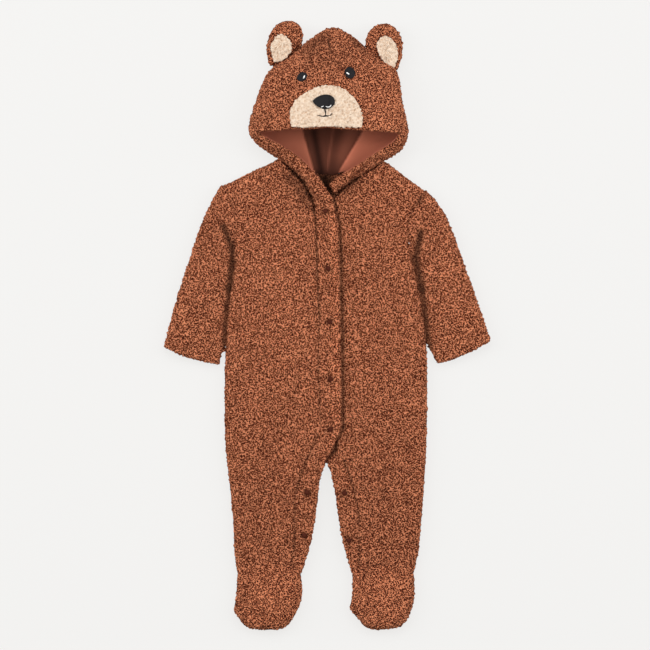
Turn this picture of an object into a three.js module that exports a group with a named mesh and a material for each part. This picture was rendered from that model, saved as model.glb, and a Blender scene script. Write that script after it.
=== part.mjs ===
// A baby's hooded onesie with feet, in curly fleece, laid flat on its back.
// Millimetres. +X is to the viewer's right, +Y runs from the feet to the hood and +Z is up.
// The origin lies on the surface that the back rests on, in the middle of the garment's box.
// Right and left in the names are the wearer's, so the right side is at negative X.
import * as THREE from "three";

// Cloth and seams
const WALL = 6; // fleece with its pile
const BAND = 5.5; // folded placket
const EAR_WALL = 5;
const LINING = 1.2;
const LINING_GAP = 0.7;
const PALE_PILE = 3.4; // pale fleece of the muzzle and the ears
const FELT = 1.1; // nose and eyes
const SEAM = 0.35; // gap between two pieces at a seam
const BACK_Z = WALL / 2; // middle of the back's wall, which lies on the surface
const SIDE_ROLL = 5.5; // radius of the fold at a side
const SIDE_Z = BACK_Z + SIDE_ROLL; // height of the side seam
const FULL_INSET = WALL / 2 + SIDE_ROLL; // from a side's outline to where the cloth lies flat
const FLAT_FRONT = 10; // middle of the front's wall where it lies on the back
const SIDE_LIFT = 3.6; // how much higher a front lies at its side fold
const SIDE_REACH = 42; // and over what width
const SEAM_REACH = 30; // width over which a front rises to its placket
const YOKE_LIFT = 3.4; // how much higher a front lies at the shoulder
const ROLL_STEPS = [0, 30, 60, 90]; // degrees round a side fold
const FRONT_STEP = 18; // length of a cell along the front
const BACK_STEP = 40; // length of a cell along the back

// Flat sections of the body and legs, from the ankles up to the armpits.
// right and left are the side folds, seam and edge bound the right front's placket,
// under and underEdge bound the left front's placket, which lies beneath it above the crotch.
const SECTIONS = [
  { y: -322.5, right: -117, seam: -45.5, edge: -34, underEdge: 32.5, under: 44, left: 113 },
  { y: -291, right: -121, seam: -44.3, edge: -23, underEdge: 23, under: 42.6, left: 119.5 },
  { y: -252, right: -122, seam: -43.2, edge: -15.5, underEdge: 15, under: 40.5, left: 123 },
  { y: -213, right: -126, seam: -40, edge: -11, underEdge: 10, under: 35, left: 126 },
  { y: -182, right: -129.5, seam: -31.5, edge: -4.5, underEdge: 2.5, under: 25.5, left: 128 },
  { y: -154, right: -132.5, seam: -17.5, edge: 10.5, underEdge: -11, under: 8.5, left: 129.5 },
  { y: -125, right: -133, seam: -9, edge: 19.3, underEdge: -6, under: 14, left: 130 },
  { y: -70, right: -133, seam: -10, edge: 19.5, underEdge: -6, under: 14.5, left: 130.5 },
  { y: -20, right: -131.5, seam: -10, edge: 18.7, underEdge: -6, under: 13.7, left: 129 },
  { y: 30, right: -127.5, seam: -10.5, edge: 17.7, underEdge: -6.5, under: 12.7, left: 122.5 },
  { y: 75, right: -122, seam: -11.4, edge: 16.5, underEdge: -7.5, under: 11.5, left: 113 },
  { y: 101, right: -121.5, seam: -12.1, edge: 15.6, underEdge: -8, under: 10.6, left: 107 },
];
const ARMPIT = SECTIONS.length - 1;
const CROTCH = 4.1; // row where the legs part
const PLACKET_TOP = ARMPIT + 2;
const PLACKET_END_GAP = 0.03; // of a row, between the placket's top and the hood
const SHOULDER = ARMPIT + 5; // row of the shoulder seam

// Armholes from above the armpit to the shoulder tip. The last row is one fold below the tip.
const ARMHOLES = [
  { rightX: -118.5, rightY: 128, leftX: 105.5, leftY: 130 },
  { rightX: -120.5, rightY: 145, leftX: 110.5, leftY: 146 },
  { rightX: -125.5, rightY: 160, leftX: 117, leftY: 159.5 },
  { rightX: -131, rightY: 173.5, leftX: 122.2, leftY: 168 },
  { rightX: -135, rightY: 182, leftX: 126, leftY: 175.5 },
];

// Upper rows of the two plackets, on top of SECTIONS.
const PLACKET_ENDS = [
  {
    seamX: -13.5, seamY: 129, edgeX: 14.4, edgeY: 131,
    underX: 9.4, underY: 130, underEdgeX: -9, underEdgeY: 127,
  },
  {
    seamX: -16.5, seamY: 155, edgeX: 8.5, edgeY: 163,
    underX: 3, underY: 157.5, underEdgeX: -11.5, underEdgeY: 150,
  },
];
const PLACKET_Z = [12, 12, 12.4, 13.6, 15.7, 15.9, 15.9, 15.9, 15.9, 15.9, 15.9, 15.9, 15.9, 15.9];
const UNDER_Z = [12, 12, 12, 11.6, 10.2, 9.4, 9.4, 9.4, 9.4, 9.4, 9.4, 9.4, 9.4, 9.4];

// Neck seam of each front, from the shoulder down to the placket.
const NECK_RIGHT = [
  { x: -63.5, y: 216.5 },
  { x: -44, y: 199 },
  { x: -26.5, y: 179 },
  { x: -16.5, y: 155 },
];
const NECK_LEFT = [
  { x: 75.5, y: 214 },
  { x: 51, y: 197.5 },
  { x: 27.5, y: 183.5 },
  { x: 11, y: 170 },
  { x: 2, y: 156.5 },
];
const NECK_LEFT_END = 3.9; // row at which the left front's neck meets its placket
const BACK_NECK_Y = 196; // lowest point of the back's neck seam

// Inner folds of the back's legs, for the first rows of SECTIONS, up to the crotch.
const BACK_MIDDLE = 5;
const BACK_LEGS = [
  { right: -37.5, left: 36 },
  { right: -26.5, left: 26.5 },
  { right: -19, left: 18.5 },
  { right: -14.5, left: 13.5 },
  { right: -7.5, left: 6.5 },
  { right: -BACK_MIDDLE, left: BACK_MIDDLE },
];
const LEG_ROLL = 4; // radius of the fold at a leg's inner side
const NECK_SHARE = 0.5; // of half the back, from the side to the neck point's column
const BACK_ACROSS = [0.25, NECK_SHARE, 0.562, 0.623, 0.703, 0.792]; // columns of half the back
const NECK_RISE = 13; // width over which the back rises from the surface to the shoulder seam

// Sleeves: the outer fold and the inner fold, from the armhole to the hem.
const SLEEVES = {
  right: [
    { outerX: -135, outerY: 182, innerX: -122.4, innerY: 101 },
    { outerX: -161.5, outerY: 133, innerX: -124.7, innerY: 72 },
    { outerX: -180.5, outerY: 83, innerX: -127.1, innerY: 40 },
    { outerX: -195.5, outerY: 36, innerX: -131, innerY: 6 },
    { outerX: -206, outerY: -2, innerX: -133.6, innerY: -27 },
    { outerX: -212.5, outerY: -27.5, innerX: -139.5, innerY: -50 },
  ],
  left: [
    { outerX: 126, outerY: 175.5, innerX: 107, innerY: 101 },
    { outerX: 154, outerY: 143, innerX: 115, innerY: 75 },
    { outerX: 174.5, outerY: 90, innerX: 121.6, innerY: 41 },
    { outerX: 191.5, outerY: 44, innerX: 127.9, innerY: 4 },
    { outerX: 205, outerY: 6, innerX: 131.2, innerY: -27 },
    { outerX: 213, outerY: -19, innerX: 142.5, innerY: -49.5 },
  ],
};
const SLEEVE_HEM_BOW = 4; // how far the hem's middle hangs past a straight line
const SLEEVE_INNER_ROLL = 4.5; // radius of the fold beside the body
const SLEEVE_SINK = 1.6; // how far a sleeve's middle sinks between its folds
const ARMHOLE_GAP = 2.3;

// Feet, from the ankle seam to the toe. outer is the side away from the other foot.
const FEET = {
  right: [
    { outerX: -117, outerY: -322.9, innerX: -34, innerY: -322.9 },
    { outerX: -117.5, outerY: -343, innerX: -31, innerY: -343 },
    { outerX: -119.5, outerY: -363, innerX: -33, innerY: -362 },
    { outerX: -115.5, outerY: -379.5, innerX: -44, innerY: -381 },
    { outerX: -101, outerY: -393, innerX: -57, innerY: -394.5 },
  ],
  left: [
    { outerX: 113, outerY: -322.9, innerX: 32.5, innerY: -322.9 },
    { outerX: 114.5, outerY: -343, innerX: 33.5, innerY: -343 },
    { outerX: 113.5, outerY: -362, innerX: 32, innerY: -363 },
    { outerX: 107.5, outerY: -378, innerX: 40, innerY: -383 },
    { outerX: 92, outerY: -392, innerX: 57, innerY: -394 },
  ],
};
const TOE = 4;
const TOE_BOW = 3.5;
const FOOT_DOME = 8;

// Hood halves, from the crown (row 0) to the brim (row 7), the neck point (row 9) and the placket (row 12).
// sil is the outer fold, lip the free edge beside the opening, mid the height of the fold.
const BRIM = 7;
const NECK_POINT = 9;
const HOOD_END = 12;
const HOODS = {
  right: [
    { silX: 1.5, silY: 387 },
    { silX: -12, silY: 379.5 },
    { silX: -27, silY: 367 },
    { silX: -49, silY: 348 },
    { silX: -75, silY: 331 },
    { silX: -88, silY: 303 },
    { silX: -96.5, silY: 277, lipX: -88, lipY: 272 },
    { silX: -102.5, silY: 251, lipX: -91.5, lipY: 250.5 },
    { silX: -85, silY: 230.5, lipX: -73.5, lipY: 239 },
    { silX: -63.5, silY: 216.5, lipX: -53.5, lipY: 229.5 },
    { lipX: -31.5, lipY: 215 },
    { lipX: -11, lipY: 193 },
    { lipX: 8.5, lipY: 163 },
  ],
  left: [
    { silX: 1.5, silY: 387 },
    { silX: 20, silY: 385 },
    { silX: 43.5, silY: 367 },
    { silX: 65, silY: 346 },
    { silX: 91, silY: 331 },
    { silX: 96.5, silY: 301 },
    { silX: 101.5, silY: 273, lipX: 93, lipY: 270 },
    { silX: 106.5, silY: 249, lipX: 95.5, lipY: 247.5 },
    { silX: 96, silY: 227, lipX: 84, lipY: 234.5 },
    { silX: 75.5, silY: 214, lipX: 64, lipY: 223.5 },
    { lipX: 42.5, lipY: 209 },
    { lipX: 21, lipY: 197 },
    { lipX: 2.5, lipY: 183.5 },
  ],
};
// The hood's centre seam over the top and along the underside, and its heights, row by row.
const CENTRE = [
  { topX: 1.5, topY: 378.5, underX: 1.5, underY: 378.5, top: 17, mid: 9 },
  { topX: 3.5, topY: 368, underX: 1.4, underY: 365, top: 26, mid: 12 },
  { topX: 5.5, topY: 356, underX: 1.2, underY: 350, top: 34, mid: 15.5 },
  { topX: 6.4, topY: 342, underX: 1, underY: 334, top: 41, mid: 18.5 },
  { topX: 6.2, topY: 326, underX: 0.8, underY: 316, top: 47, mid: 21 },
  { topX: 4.2, topY: 302, underX: 0.5, underY: 294, top: 52, mid: 23.5 },
  { topX: 2, topY: 279, underX: 0.2, underY: 270, top: 55.5, mid: 25, lip: 40 },
  { topX: 0.5, topY: 256.5, underX: 0, underY: 247, top: 58, mid: 26, lip: 41.5, turn: 24.6 },
  { underX: 0, underY: 221, mid: 21, lip: 40, turn: 62 },
  { underX: 0, underY: BACK_NECK_Y + 0.4, mid: 12, lip: 32, turn: 84 },
  { mid: 9, lip: 27, turn: 86 },
  { mid: 9.6, lip: 24, turn: 88 },
  { mid: 15.2, lip: 16.4, turn: 88 },
];
const HOOD_SEAM = 0.315; // how far each hood half keeps from the centre seam
const CROWN_SEAM = 0.56; // and at the crown, where the two edges lean past each other
const CROWN_ROWS = 1.5; // rows over which the one turns into the other
const HOOD_POWER = 2.4; // roundness of the hood's upper layer
const UNDER_POWER = 4.5; // and of the layer that lies on the surface

// Ears: the free outline from the base at the side to the base at the crown.
const EARS = {
  right: {
    outline: [[-77.5, 346], [-79, 362], [-75, 377.5], [-67, 390.5], [-56, 396.5], [-43, 396], [-33, 388]],
    base: [2.2, 2.75, 3.3, 3.85],
    inner: [[-67.5, 344], [-72.5, 360], [-68, 373.5], [-60, 378.5], [-51, 373.5], [-45.5, 362], [-48, 354.5]],
    centre: [-56, 370],
  },
  left: {
    outline: [[95.5, 345], [98.5, 359], [98, 371], [90.5, 385.5], [78, 393.5], [65, 391.5], [53, 380]],
    base: [2.2, 2.75, 3.3, 3.85],
    inner: [[87, 342], [91.5, 352], [90.5, 362], [83.5, 372.5], [74, 376.5], [65.5, 367.5], [69, 353]],
    centre: [76, 369],
  },
};
const EAR_Z = 15; // height of the seam round an ear
const EAR_ROLL = 5;
const EAR_DOME = 2.5;
const EAR_REACH = 26; // radius of the dome
const EAR_RING = 0.6; // share of an ear's flat part at which its dome has a ring
const EAR_SEAT = 2.3; // from the hood's fold line to the ear's base

// Face: outlines on the hood's upper layer
const MUZZLE = {
  centre: [0, 281],
  outline: [[-46, 259.5], [-47.5, 270], [-43.5, 290], [-31, 301.5], [-13.5, 310], [2, 312.5], [17, 310.5],
    [31, 300.5], [42, 285], [46.5, 268], [46, 259.5], [23, 259.3], [0, 259.3], [-23, 259.3]],
};
const NOSE = {
  centre: [-4, 291],
  outline: [[-18.5, 292], [-13, 297], [-6, 300], [2, 300.3], [8, 297.5], [10.5, 292.5], [8.5, 286.5],
    [-1.5, 281.5], [-10, 284]],
};
const EYES = {
  right: { centre: [-32, 324], long: 7, short: 5.6, tilt: 30 },
  left: { centre: [29.5, 329], long: 7.6, short: 6.6, tilt: -60 },
};

// Snaps: caps on the plackets, top to bottom, then down the right and the left leg
const SNAPS = [
  { x: -2, y: 149 },
  { x: 1.5, y: 74 },
  { x: 3.5, y: 5 },
  { x: 4.5, y: -69.5 },
  { x: 4.5, y: -135 },
  { x: -25.5, y: -217 },
  { x: -29.5, y: -273 },
  { x: 22.5, y: -218, under: true },
  { x: 28.5, y: -279.5, under: true },
];
const SNAP = { radius: 4.8, height: 2, sides: 10 };

// Largest soft folds of the upper side: a ridge (or a trough, if high is negative) along a line.
const FOLDS = [
  { x1: -118, y1: 92, x2: -70, y2: 118, wide: 13, high: 1.8 },
  { x1: 106, y1: 92, x2: 60, y2: 124, wide: 14, high: 2 },
  { x1: -120, y1: 60, x2: -84, y2: 44, wide: 12, high: 1.4 },
  { x1: 116, y1: 40, x2: 84, y2: 20, wide: 12, high: 1.5 },
  { x1: -34, y1: -176, x2: -92, y2: -140, wide: 13, high: 2 },
  { x1: 34, y1: -178, x2: 88, y2: -150, wide: 13, high: 2 },
  { x1: -60, y1: -200, x2: -104, y2: -214, wide: 12, high: 1.6 },
  { x1: 56, y1: -205, x2: 106, y2: -196, wide: 12, high: 1.6 },
  { x1: -58, y1: -296, x2: -106, y2: -306, wide: 10, high: 1.5 },
  { x1: 50, y1: -300, x2: 104, y2: -306, wide: 10, high: 1.5 },
  { x1: -150, y1: 62, x2: -182, y2: 40, wide: 12, high: 1.6 },
  { x1: 146, y1: 58, x2: 182, y2: 34, wide: 12, high: 1.6 },
];

const radians = THREE.MathUtils.degToRad;
const clamp = THREE.MathUtils.clamp;
const smooth = (x, from, to) => THREE.MathUtils.smoothstep(x, from, to);
const UP = new THREE.Vector3(0, 0, 1);

// One column of a table at a place between its rows, on a smooth curve through them.
function along(table, column, at) {
  const last = table.length - 1;
  const i = clamp(Math.floor(at), 0, last - 1);
  const f = at - i;
  const value = (k) => table[k][column];
  const b = value(i);
  const c = value(i + 1);
  const a = i > 0 ? value(i - 1) : 2 * b - c;
  const d = i + 2 <= last ? value(i + 2) : 2 * c - b;
  return b + 0.5 * f * (c - a + f * (2 * a - 5 * b + 4 * c - d + f * (3 * (b - c) + d - a)));
}
const place = (table, x, y, at) => new THREE.Vector3(along(table, x, at), along(table, y, at), 0);

// Rows of the whole body, ankle to shoulder, in one table.
const BODY = [
  ...SECTIONS.map((s) => ({ rightX: s.right, rightY: s.y, leftX: s.left, leftY: s.y })),
  ...ARMHOLES,
];
const PLACKETS = [
  ...SECTIONS.map((s) => ({
    seamX: s.seam, seamY: s.y, edgeX: s.edge, edgeY: s.y,
    underX: s.under, underY: s.y, underEdgeX: s.underEdge, underEdgeY: s.y,
  })),
  ...PLACKET_ENDS,
].map((row, i) => ({ ...row, z: PLACKET_Z[i], underZ: UNDER_Z[i] }));

// Steps between two rows of a table, so that each cell is about as long as asked.
function rowsOf(table, x, y, from, to, step) {
  const out = [from];
  for (let a = from; a < to; a = Math.min(Math.floor(a + 1), to)) {
    const b = Math.min(Math.floor(a + 1), to);
    const long = place(table, x, y, a).distanceTo(place(table, x, y, b));
    const cells = Math.max(1, Math.round(long / step));
    for (let k = 1; k <= cells; k++) out.push(a + ((b - a) * k) / cells);
  }
  return out;
}

// Height that the soft folds add at a point.
function foldHeight(x, y) {
  let z = 0;
  for (const f of FOLDS) {
    const dx = f.x2 - f.x1;
    const dy = f.y2 - f.y1;
    const t = ((x - f.x1) * dx + (y - f.y1) * dy) / (dx * dx + dy * dy);
    const off = Math.hypot(x - f.x1 - dx * clamp(t, 0, 1), y - f.y1 - dy * clamp(t, 0, 1));
    z += f.high * Math.exp(-((off / f.wide) ** 2));
  }
  return z;
}

// How far inside the outline, and how high, a wall's middle lies at a step of its side fold.
// curl is 1 where the cloth folds over and 0 where it is cut off flat.
function fold(q, curl, roll, wall) {
  const start = radians(90 * (1 - curl));
  const angle = start + (Math.PI / 2 - start) * q;
  return {
    inset: (wall / 2) * Math.cos(start) + roll * (Math.cos(start) - Math.cos(angle)) + (1 - curl) * roll * q,
    drop: roll * (1 - Math.sin(angle)),
    start,
  };
}

// Direction in which a side fold's edge faces stand, between the panel's plane and upright.
const edgeWay = (inward, start) =>
  inward.clone().multiplyScalar(Math.sin(start)).addScaledVector(UP, Math.cos(start));

// A closed wall round a grid of points on its middle surface.
// live says which cells hold cloth, and square gives directions that an edge's faces stand across.
function wall(grid, thickness, { ring = false, live = () => true, square = () => [] } = {}) {
  const rows = grid.length;
  const columns = grid[0].length;
  const cells = ring ? columns : columns - 1;
  const right = (j) => (j + 1) % columns;
  const used = grid.map((row) => row.map(() => false));
  for (let i = 0; i < rows - 1; i++)
    for (let j = 0; j < cells; j++) {
      if (!live(i, j)) continue;
      for (const row of [i, i + 1]) {
        used[row][j] = true;
        used[row][right(j)] = true;
      }
    }
  const at = (i, j) => {
    const c = ring ? (j + columns) % columns : j;
    return grid[i] && used[i][c] ? grid[i][c] : null;
  };
  const slope = (i, j, di, dj) => {
    const after = at(i + di, j + dj) ?? grid[i][j];
    const before = at(i - di, j - dj) ?? grid[i][j];
    return after.clone().sub(before);
  };
  const index = grid.map((row) => row.map(() => -1));
  const outer = [];
  const inner = [];
  for (let i = 0; i < rows; i++)
    for (let j = 0; j < columns; j++) {
      if (!used[i][j]) continue;
      const normal = slope(i, j, 0, 1).cross(slope(i, j, 1, 0)).normalize();
      for (const across of square(i, j)) normal.addScaledVector(across, -normal.dot(across)).normalize();
      index[i][j] = outer.length;
      outer.push(grid[i][j].clone().addScaledVector(normal, thickness / 2));
      inner.push(grid[i][j].clone().addScaledVector(normal, -thickness / 2));
    }
  const count = outer.length;
  const faces = [];
  const edges = new Map();
  for (let i = 0; i < rows - 1; i++)
    for (let j = 0; j < cells; j++) {
      if (!live(i, j)) continue;
      const corners = [index[i][j], index[i][right(j)], index[i + 1][right(j)], index[i + 1][j]];
      const [a, b, c, d] = corners;
      faces.push([a, b, c], [a, c, d], [a + count, c + count, b + count], [a + count, d + count, c + count]);
      corners.forEach((from, k) => {
        const to = corners[(k + 1) % 4];
        if (!edges.delete(`${to},${from}`)) edges.set(`${from},${to}`, [from, to]);
      });
    }
  for (const [a, b] of edges.values()) faces.push([b, a, a + count], [b, a + count, b + count]);
  return solid([...outer, ...inner], faces);
}

// A closed wall round a middle surface made of rings about a centre point.
function disc(rings, centre, thickness, square = () => []) {
  const n = rings[0].length;
  const normalAt = (i, j) => {
    const inward = i > 0 ? rings[i - 1][j] : centre;
    const outward = rings[i + 1]?.[j] ?? rings[i][j];
    const round = rings[i][(j + 1) % n].clone().sub(rings[i][(j + n - 1) % n]);
    const normal = outward.clone().sub(inward).cross(round).normalize();
    for (const across of square(i, j)) normal.addScaledVector(across, -normal.dot(across)).normalize();
    return normal;
  };
  const middle = rings[0].reduce((sum, _, j) => sum.add(normalAt(0, j)), new THREE.Vector3()).normalize();
  const points = [centre, ...rings.flat()];
  const normals = [middle, ...rings.flatMap((ring, i) => ring.map((_, j) => normalAt(i, j)))];
  const count = points.length;
  const outer = points.map((p, k) => p.clone().addScaledVector(normals[k], thickness / 2));
  const inner = points.map((p, k) => p.clone().addScaledVector(normals[k], -thickness / 2));
  const faces = [];
  const both = (a, b, c) => faces.push([a, b, c], [a + count, c + count, b + count]);
  const id = (i, j) => 1 + i * n + (j % n);
  for (let j = 0; j < n; j++) {
    both(0, id(0, j), id(0, j + 1));
    for (let i = 0; i < rings.length - 1; i++) {
      both(id(i, j), id(i + 1, j), id(i + 1, j + 1));
      both(id(i, j), id(i + 1, j + 1), id(i, j + 1));
    }
    const a = id(rings.length - 1, j);
    const b = id(rings.length - 1, j + 1);
    faces.push([b, a, a + count], [b, a + count, b + count]);
  }
  return solid([...outer, ...inner], faces);
}

// Geometry from points and triangles, turned so that its faces point out.
function solid(points, faces) {
  let volume = 0;
  for (const [a, b, c] of faces) volume += points[a].dot(points[b].clone().cross(points[c]));
  const turned = volume < 0 ? faces.map(([a, b, c]) => [a, c, b]) : faces;
  const geometry = new THREE.BufferGeometry();
  geometry.setAttribute("position", new THREE.Float32BufferAttribute(points.flatMap((p) => p.toArray()), 3));
  geometry.setIndex(turned.flat());
  geometry.computeVertexNormals();
  return geometry;
}

// Smooth closed outline through points, as a list of n points.
function outlineOf(points, n) {
  const knots = points.map(([x, y]) => new THREE.Vector3(x, y, 0));
  const curve = new THREE.CatmullRomCurve3(knots, true, "centripetal");
  return curve.getSpacedPoints(n).slice(0, n);
}

// Inner edge of a front: its placket seam, and above that the neck.
function frontInner(side, v) {
  const right = side === "right";
  if (v <= PLACKET_TOP) {
    return right ? place(PLACKETS, "seamX", "seamY", v) : place(PLACKETS, "underX", "underY", v);
  }
  const end = right ? NECK_RIGHT.length - 1 : NECK_LEFT_END;
  const nearShoulder = 0.37;
  const stops = [end, end * 0.56, nearShoulder, 0];
  const i = Math.min(Math.floor(v - PLACKET_TOP), 2);
  const t = THREE.MathUtils.lerp(stops[i], stops[i + 1], v - PLACKET_TOP - i);
  return place(right ? NECK_RIGHT : NECK_LEFT, "x", "y", t);
}

// Rows of a panel of the body. The last ones go round the fold at the shoulder.
const shoulderRows = ROLL_STEPS.map((degrees) => {
  const down = fold(degrees / 90, 1, SIDE_ROLL, WALL);
  return { v: SHOULDER - down.inset / FULL_INSET, drop: down.drop };
}).reverse();
const bodyRows = (step) => [
  ...rowsOf(BODY, "rightX", "rightY", 0, ARMPIT, step),
  ...rowsOf(BODY, "rightX", "rightY", ARMPIT, SHOULDER - 1, FRONT_STEP).slice(1, -1),
].map((v) => ({ v, drop: 0 })).concat(shoulderRows);
const sideCurl = (v) => 1 - smooth(v, ARMPIT - 0.35, ARMPIT + 0.35);

// A front panel, right or left.
function front(side) {
  const right = side === "right";
  const rows = bodyRows(FRONT_STEP);
  const across = [0.12, 0.24, 0.37, 0.5, 0.63, 0.76, 0.89, 1];
  const starts = [];
  const grid = rows.map(({ v, drop }) => {
    const outer = place(BODY, `${side}X`, `${side}Y`, v);
    const inner = frontInner(side, v);
    const inward = inner.clone().sub(outer).normalize();
    outer.addScaledVector(inward, SEAM / 2 * (1 - sideCurl(v)));
    inner.addScaledVector(inward, -SEAM / 2 - (v > PLACKET_TOP - 0.5 ? 0.2 : 0));
    const wide = outer.distanceTo(inner);
    const high = (inset) => {
      const fromSide = SIDE_LIFT * Math.exp(-((inset / SIDE_REACH) ** 2));
      const neck = smooth(v, ARMPIT + 2.6, ARMPIT + 4.2);
      const bandZ = right ? along(PLACKETS, "z", Math.min(v, PLACKET_TOP)) - 0.4 : FLAT_FRONT - 0.4;
      const underZ = along(PLACKETS, "underZ", Math.min(v, PLACKET_TOP));
      const legZ = right ? bandZ : THREE.MathUtils.lerp(underZ, bandZ, smooth(v, 3, 5));
      const edgeZ = THREE.MathUtils.lerp(legZ, SIDE_Z + SIDE_ROLL, neck);
      const fromSeam = (edgeZ - FLAT_FRONT - 0.2) * Math.exp(-(((wide - inset) / SEAM_REACH) ** 2));
      const yoke = YOKE_LIFT * smooth(v, SHOULDER - 3, SHOULDER - 0.6);
      return FLAT_FRONT + 0.2 + Math.min(fromSeam, 0) + Math.hypot(fromSide, Math.max(fromSeam, 0), yoke);
    };
    const curls = ROLL_STEPS.map((degrees) => fold(degrees / 90, sideCurl(v), SIDE_ROLL, WALL));
    starts.push({ inward, start: curls[0].start });
    const line = curls.map(({ inset, drop: down }, k) => {
      const p = outer.clone().addScaledVector(inward, inset);
      const rolled = SIDE_ROLL - (1 - down / SIDE_ROLL) * (SIDE_ROLL - drop);
      p.z = SIDE_Z + SIDE_ROLL - rolled + (k === 0 ? (SEAM / 2) * Math.cos(curls[0].start) : 0);
      return p;
    });
    const from = curls.at(-1).inset;
    for (const u of across) {
      const inset = from + (wide - from) * u;
      const p = outer.clone().addScaledVector(inward, inset);
      const top = high(inset) + foldHeight(p.x, p.y) * smooth(wide - inset, 0, 25) * smooth(inset, 4, 20);
      const settled = THREE.MathUtils.lerp(SIDE_Z + SIDE_ROLL, top, smooth(inset, from, from + 18));
      p.z = SIDE_Z + (settled - SIDE_Z) * (1 - drop / SIDE_ROLL);
      line.push(p);
    }
    return line;
  });
  const last = grid.length - 1;
  for (const p of grid[last]) p.z += SEAM / 2;
  return wall(grid, WALL, {
    square: (i, j) => {
      const { inward, start } = starts[i];
      const out = [];
      if (j === 0) out.push(edgeWay(inward, start));
      if (j === grid[0].length - 1) out.push(new THREE.Vector3(inward.x, inward.y, 0));
      if (i === 0) out.push(new THREE.Vector3(0, 1, 0));
      if (i === last) out.push(UP.clone());
      return out;
    },
  });
}

// A point of the back's upper edge: along the shoulder seam to the neck point, then along the hood's edge.
function backTop(side, u) {
  if (u <= NECK_SHARE) {
    const neckPoint = place(side === "right" ? NECK_RIGHT : NECK_LEFT, "x", "y", 0);
    return place(BODY, `${side}X`, `${side}Y`, SHOULDER).lerp(neckPoint, u / NECK_SHARE);
  }
  const least = BACK_MIDDLE / Math.abs(hoodPoint(side, NECK_POINT, 0).x);
  const reach = THREE.MathUtils.lerp(least, 1, (1 - u) / (1 - NECK_SHARE));
  const angle = THREE.MathUtils.radToDeg(Math.acos(reach ** (UNDER_POWER / 2)));
  const p = hoodPoint(side, NECK_POINT, -angle);
  return new THREE.Vector3(p.x, p.y - 2 * SEAM, 0);
}

// Above the armpit a point of the back goes from the armpit's row towards the shoulder and the neck.
function backClimb(side, v, outer, middleX) {
  const armpit = place(BODY, `${side}X`, `${side}Y`, ARMPIT);
  const shoulder = backTop(side, NECK_SHARE).sub(backTop(side, 0)).normalize();
  const across = new THREE.Vector3(shoulder.y, -shoulder.x, 0).multiplyScalar(side === "right" ? 1 : -1);
  const tuck = (1 - Math.max(0, v - SHOULDER + 1)) * FULL_INSET;
  const goal = (u) => {
    const top = backTop(side, u);
    if (u <= NECK_SHARE) return top.addScaledVector(across, tuck);
    return top.setY(top.y - tuck + WALL / 2);
  };
  const top = along(BODY, `${side}Y`, SHOULDER - 1);
  const t = clamp((outer.y - armpit.y) / (top - armpit.y), 0, 1);
  const off = outer.clone().sub(armpit.clone().lerp(goal(0), t));
  return (u) => {
    const low = armpit.clone().lerp(new THREE.Vector3(middleX, armpit.y, 0), u);
    return low.lerp(goal(u), t).addScaledVector(off, Math.max(0, 1 - 3 * u));
  };
}

// One row of half of the back, from the side fold to the middle or to the leg's inner fold.
function backRow(side, v, drop, leg) {
  const outer = place(BODY, `${side}X`, `${side}Y`, v);
  const middleX = along(BACK_LEGS, side, Math.min(v, BACK_LEGS.length - 1));
  const inner = new THREE.Vector3(middleX, outer.y, 0);
  const climb = v > ARMPIT ? backClimb(side, v, outer, middleX) : null;
  const inward = (climb ? climb(NECK_SHARE / 2) : inner.clone()).sub(outer).normalize();
  outer.addScaledVector(inward, (SEAM / 2) * (1 - sideCurl(v)));
  const curls = ROLL_STEPS.map((degrees) => fold(degrees / 90, sideCurl(v), SIDE_ROLL, WALL));
  const line = curls.map(({ inset, drop: down }, k) => {
    const rolled = SIDE_ROLL - (1 - down / SIDE_ROLL) * (SIDE_ROLL - drop);
    const seam = k === 0 ? (SEAM / 2) * Math.cos(curls[0].start) : 0;
    return outer.clone().addScaledVector(inward, inset).setZ(BACK_Z + rolled - seam);
  });
  const neckX = Math.abs(backTop(side, NECK_SHARE).x);
  const from = outer.clone().addScaledVector(inward, curls.at(-1).inset);
  const legs = [90, 45, 0].map((degrees) => fold(degrees / 90, leg, LEG_ROLL, WALL));
  const to = inner.clone().addScaledVector(inward, -legs[0].inset);
  for (const u of BACK_ACROSS) {
    const p = climb ? climb(u) : from.clone().lerp(to, u);
    line.push(p.setZ(BACK_Z + drop * smooth(Math.abs(p.x) - neckX, -NECK_RISE, 0)));
  }
  for (const { inset, drop: down } of legs) {
    const share = 1 - inset / Math.abs(middleX - outer.x);
    const p = climb ? climb(share) : inner.clone().setX(middleX - inward.x * inset);
    line.push(p.setZ(BACK_Z + down));
  }
  return { line, inward };
}

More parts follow.
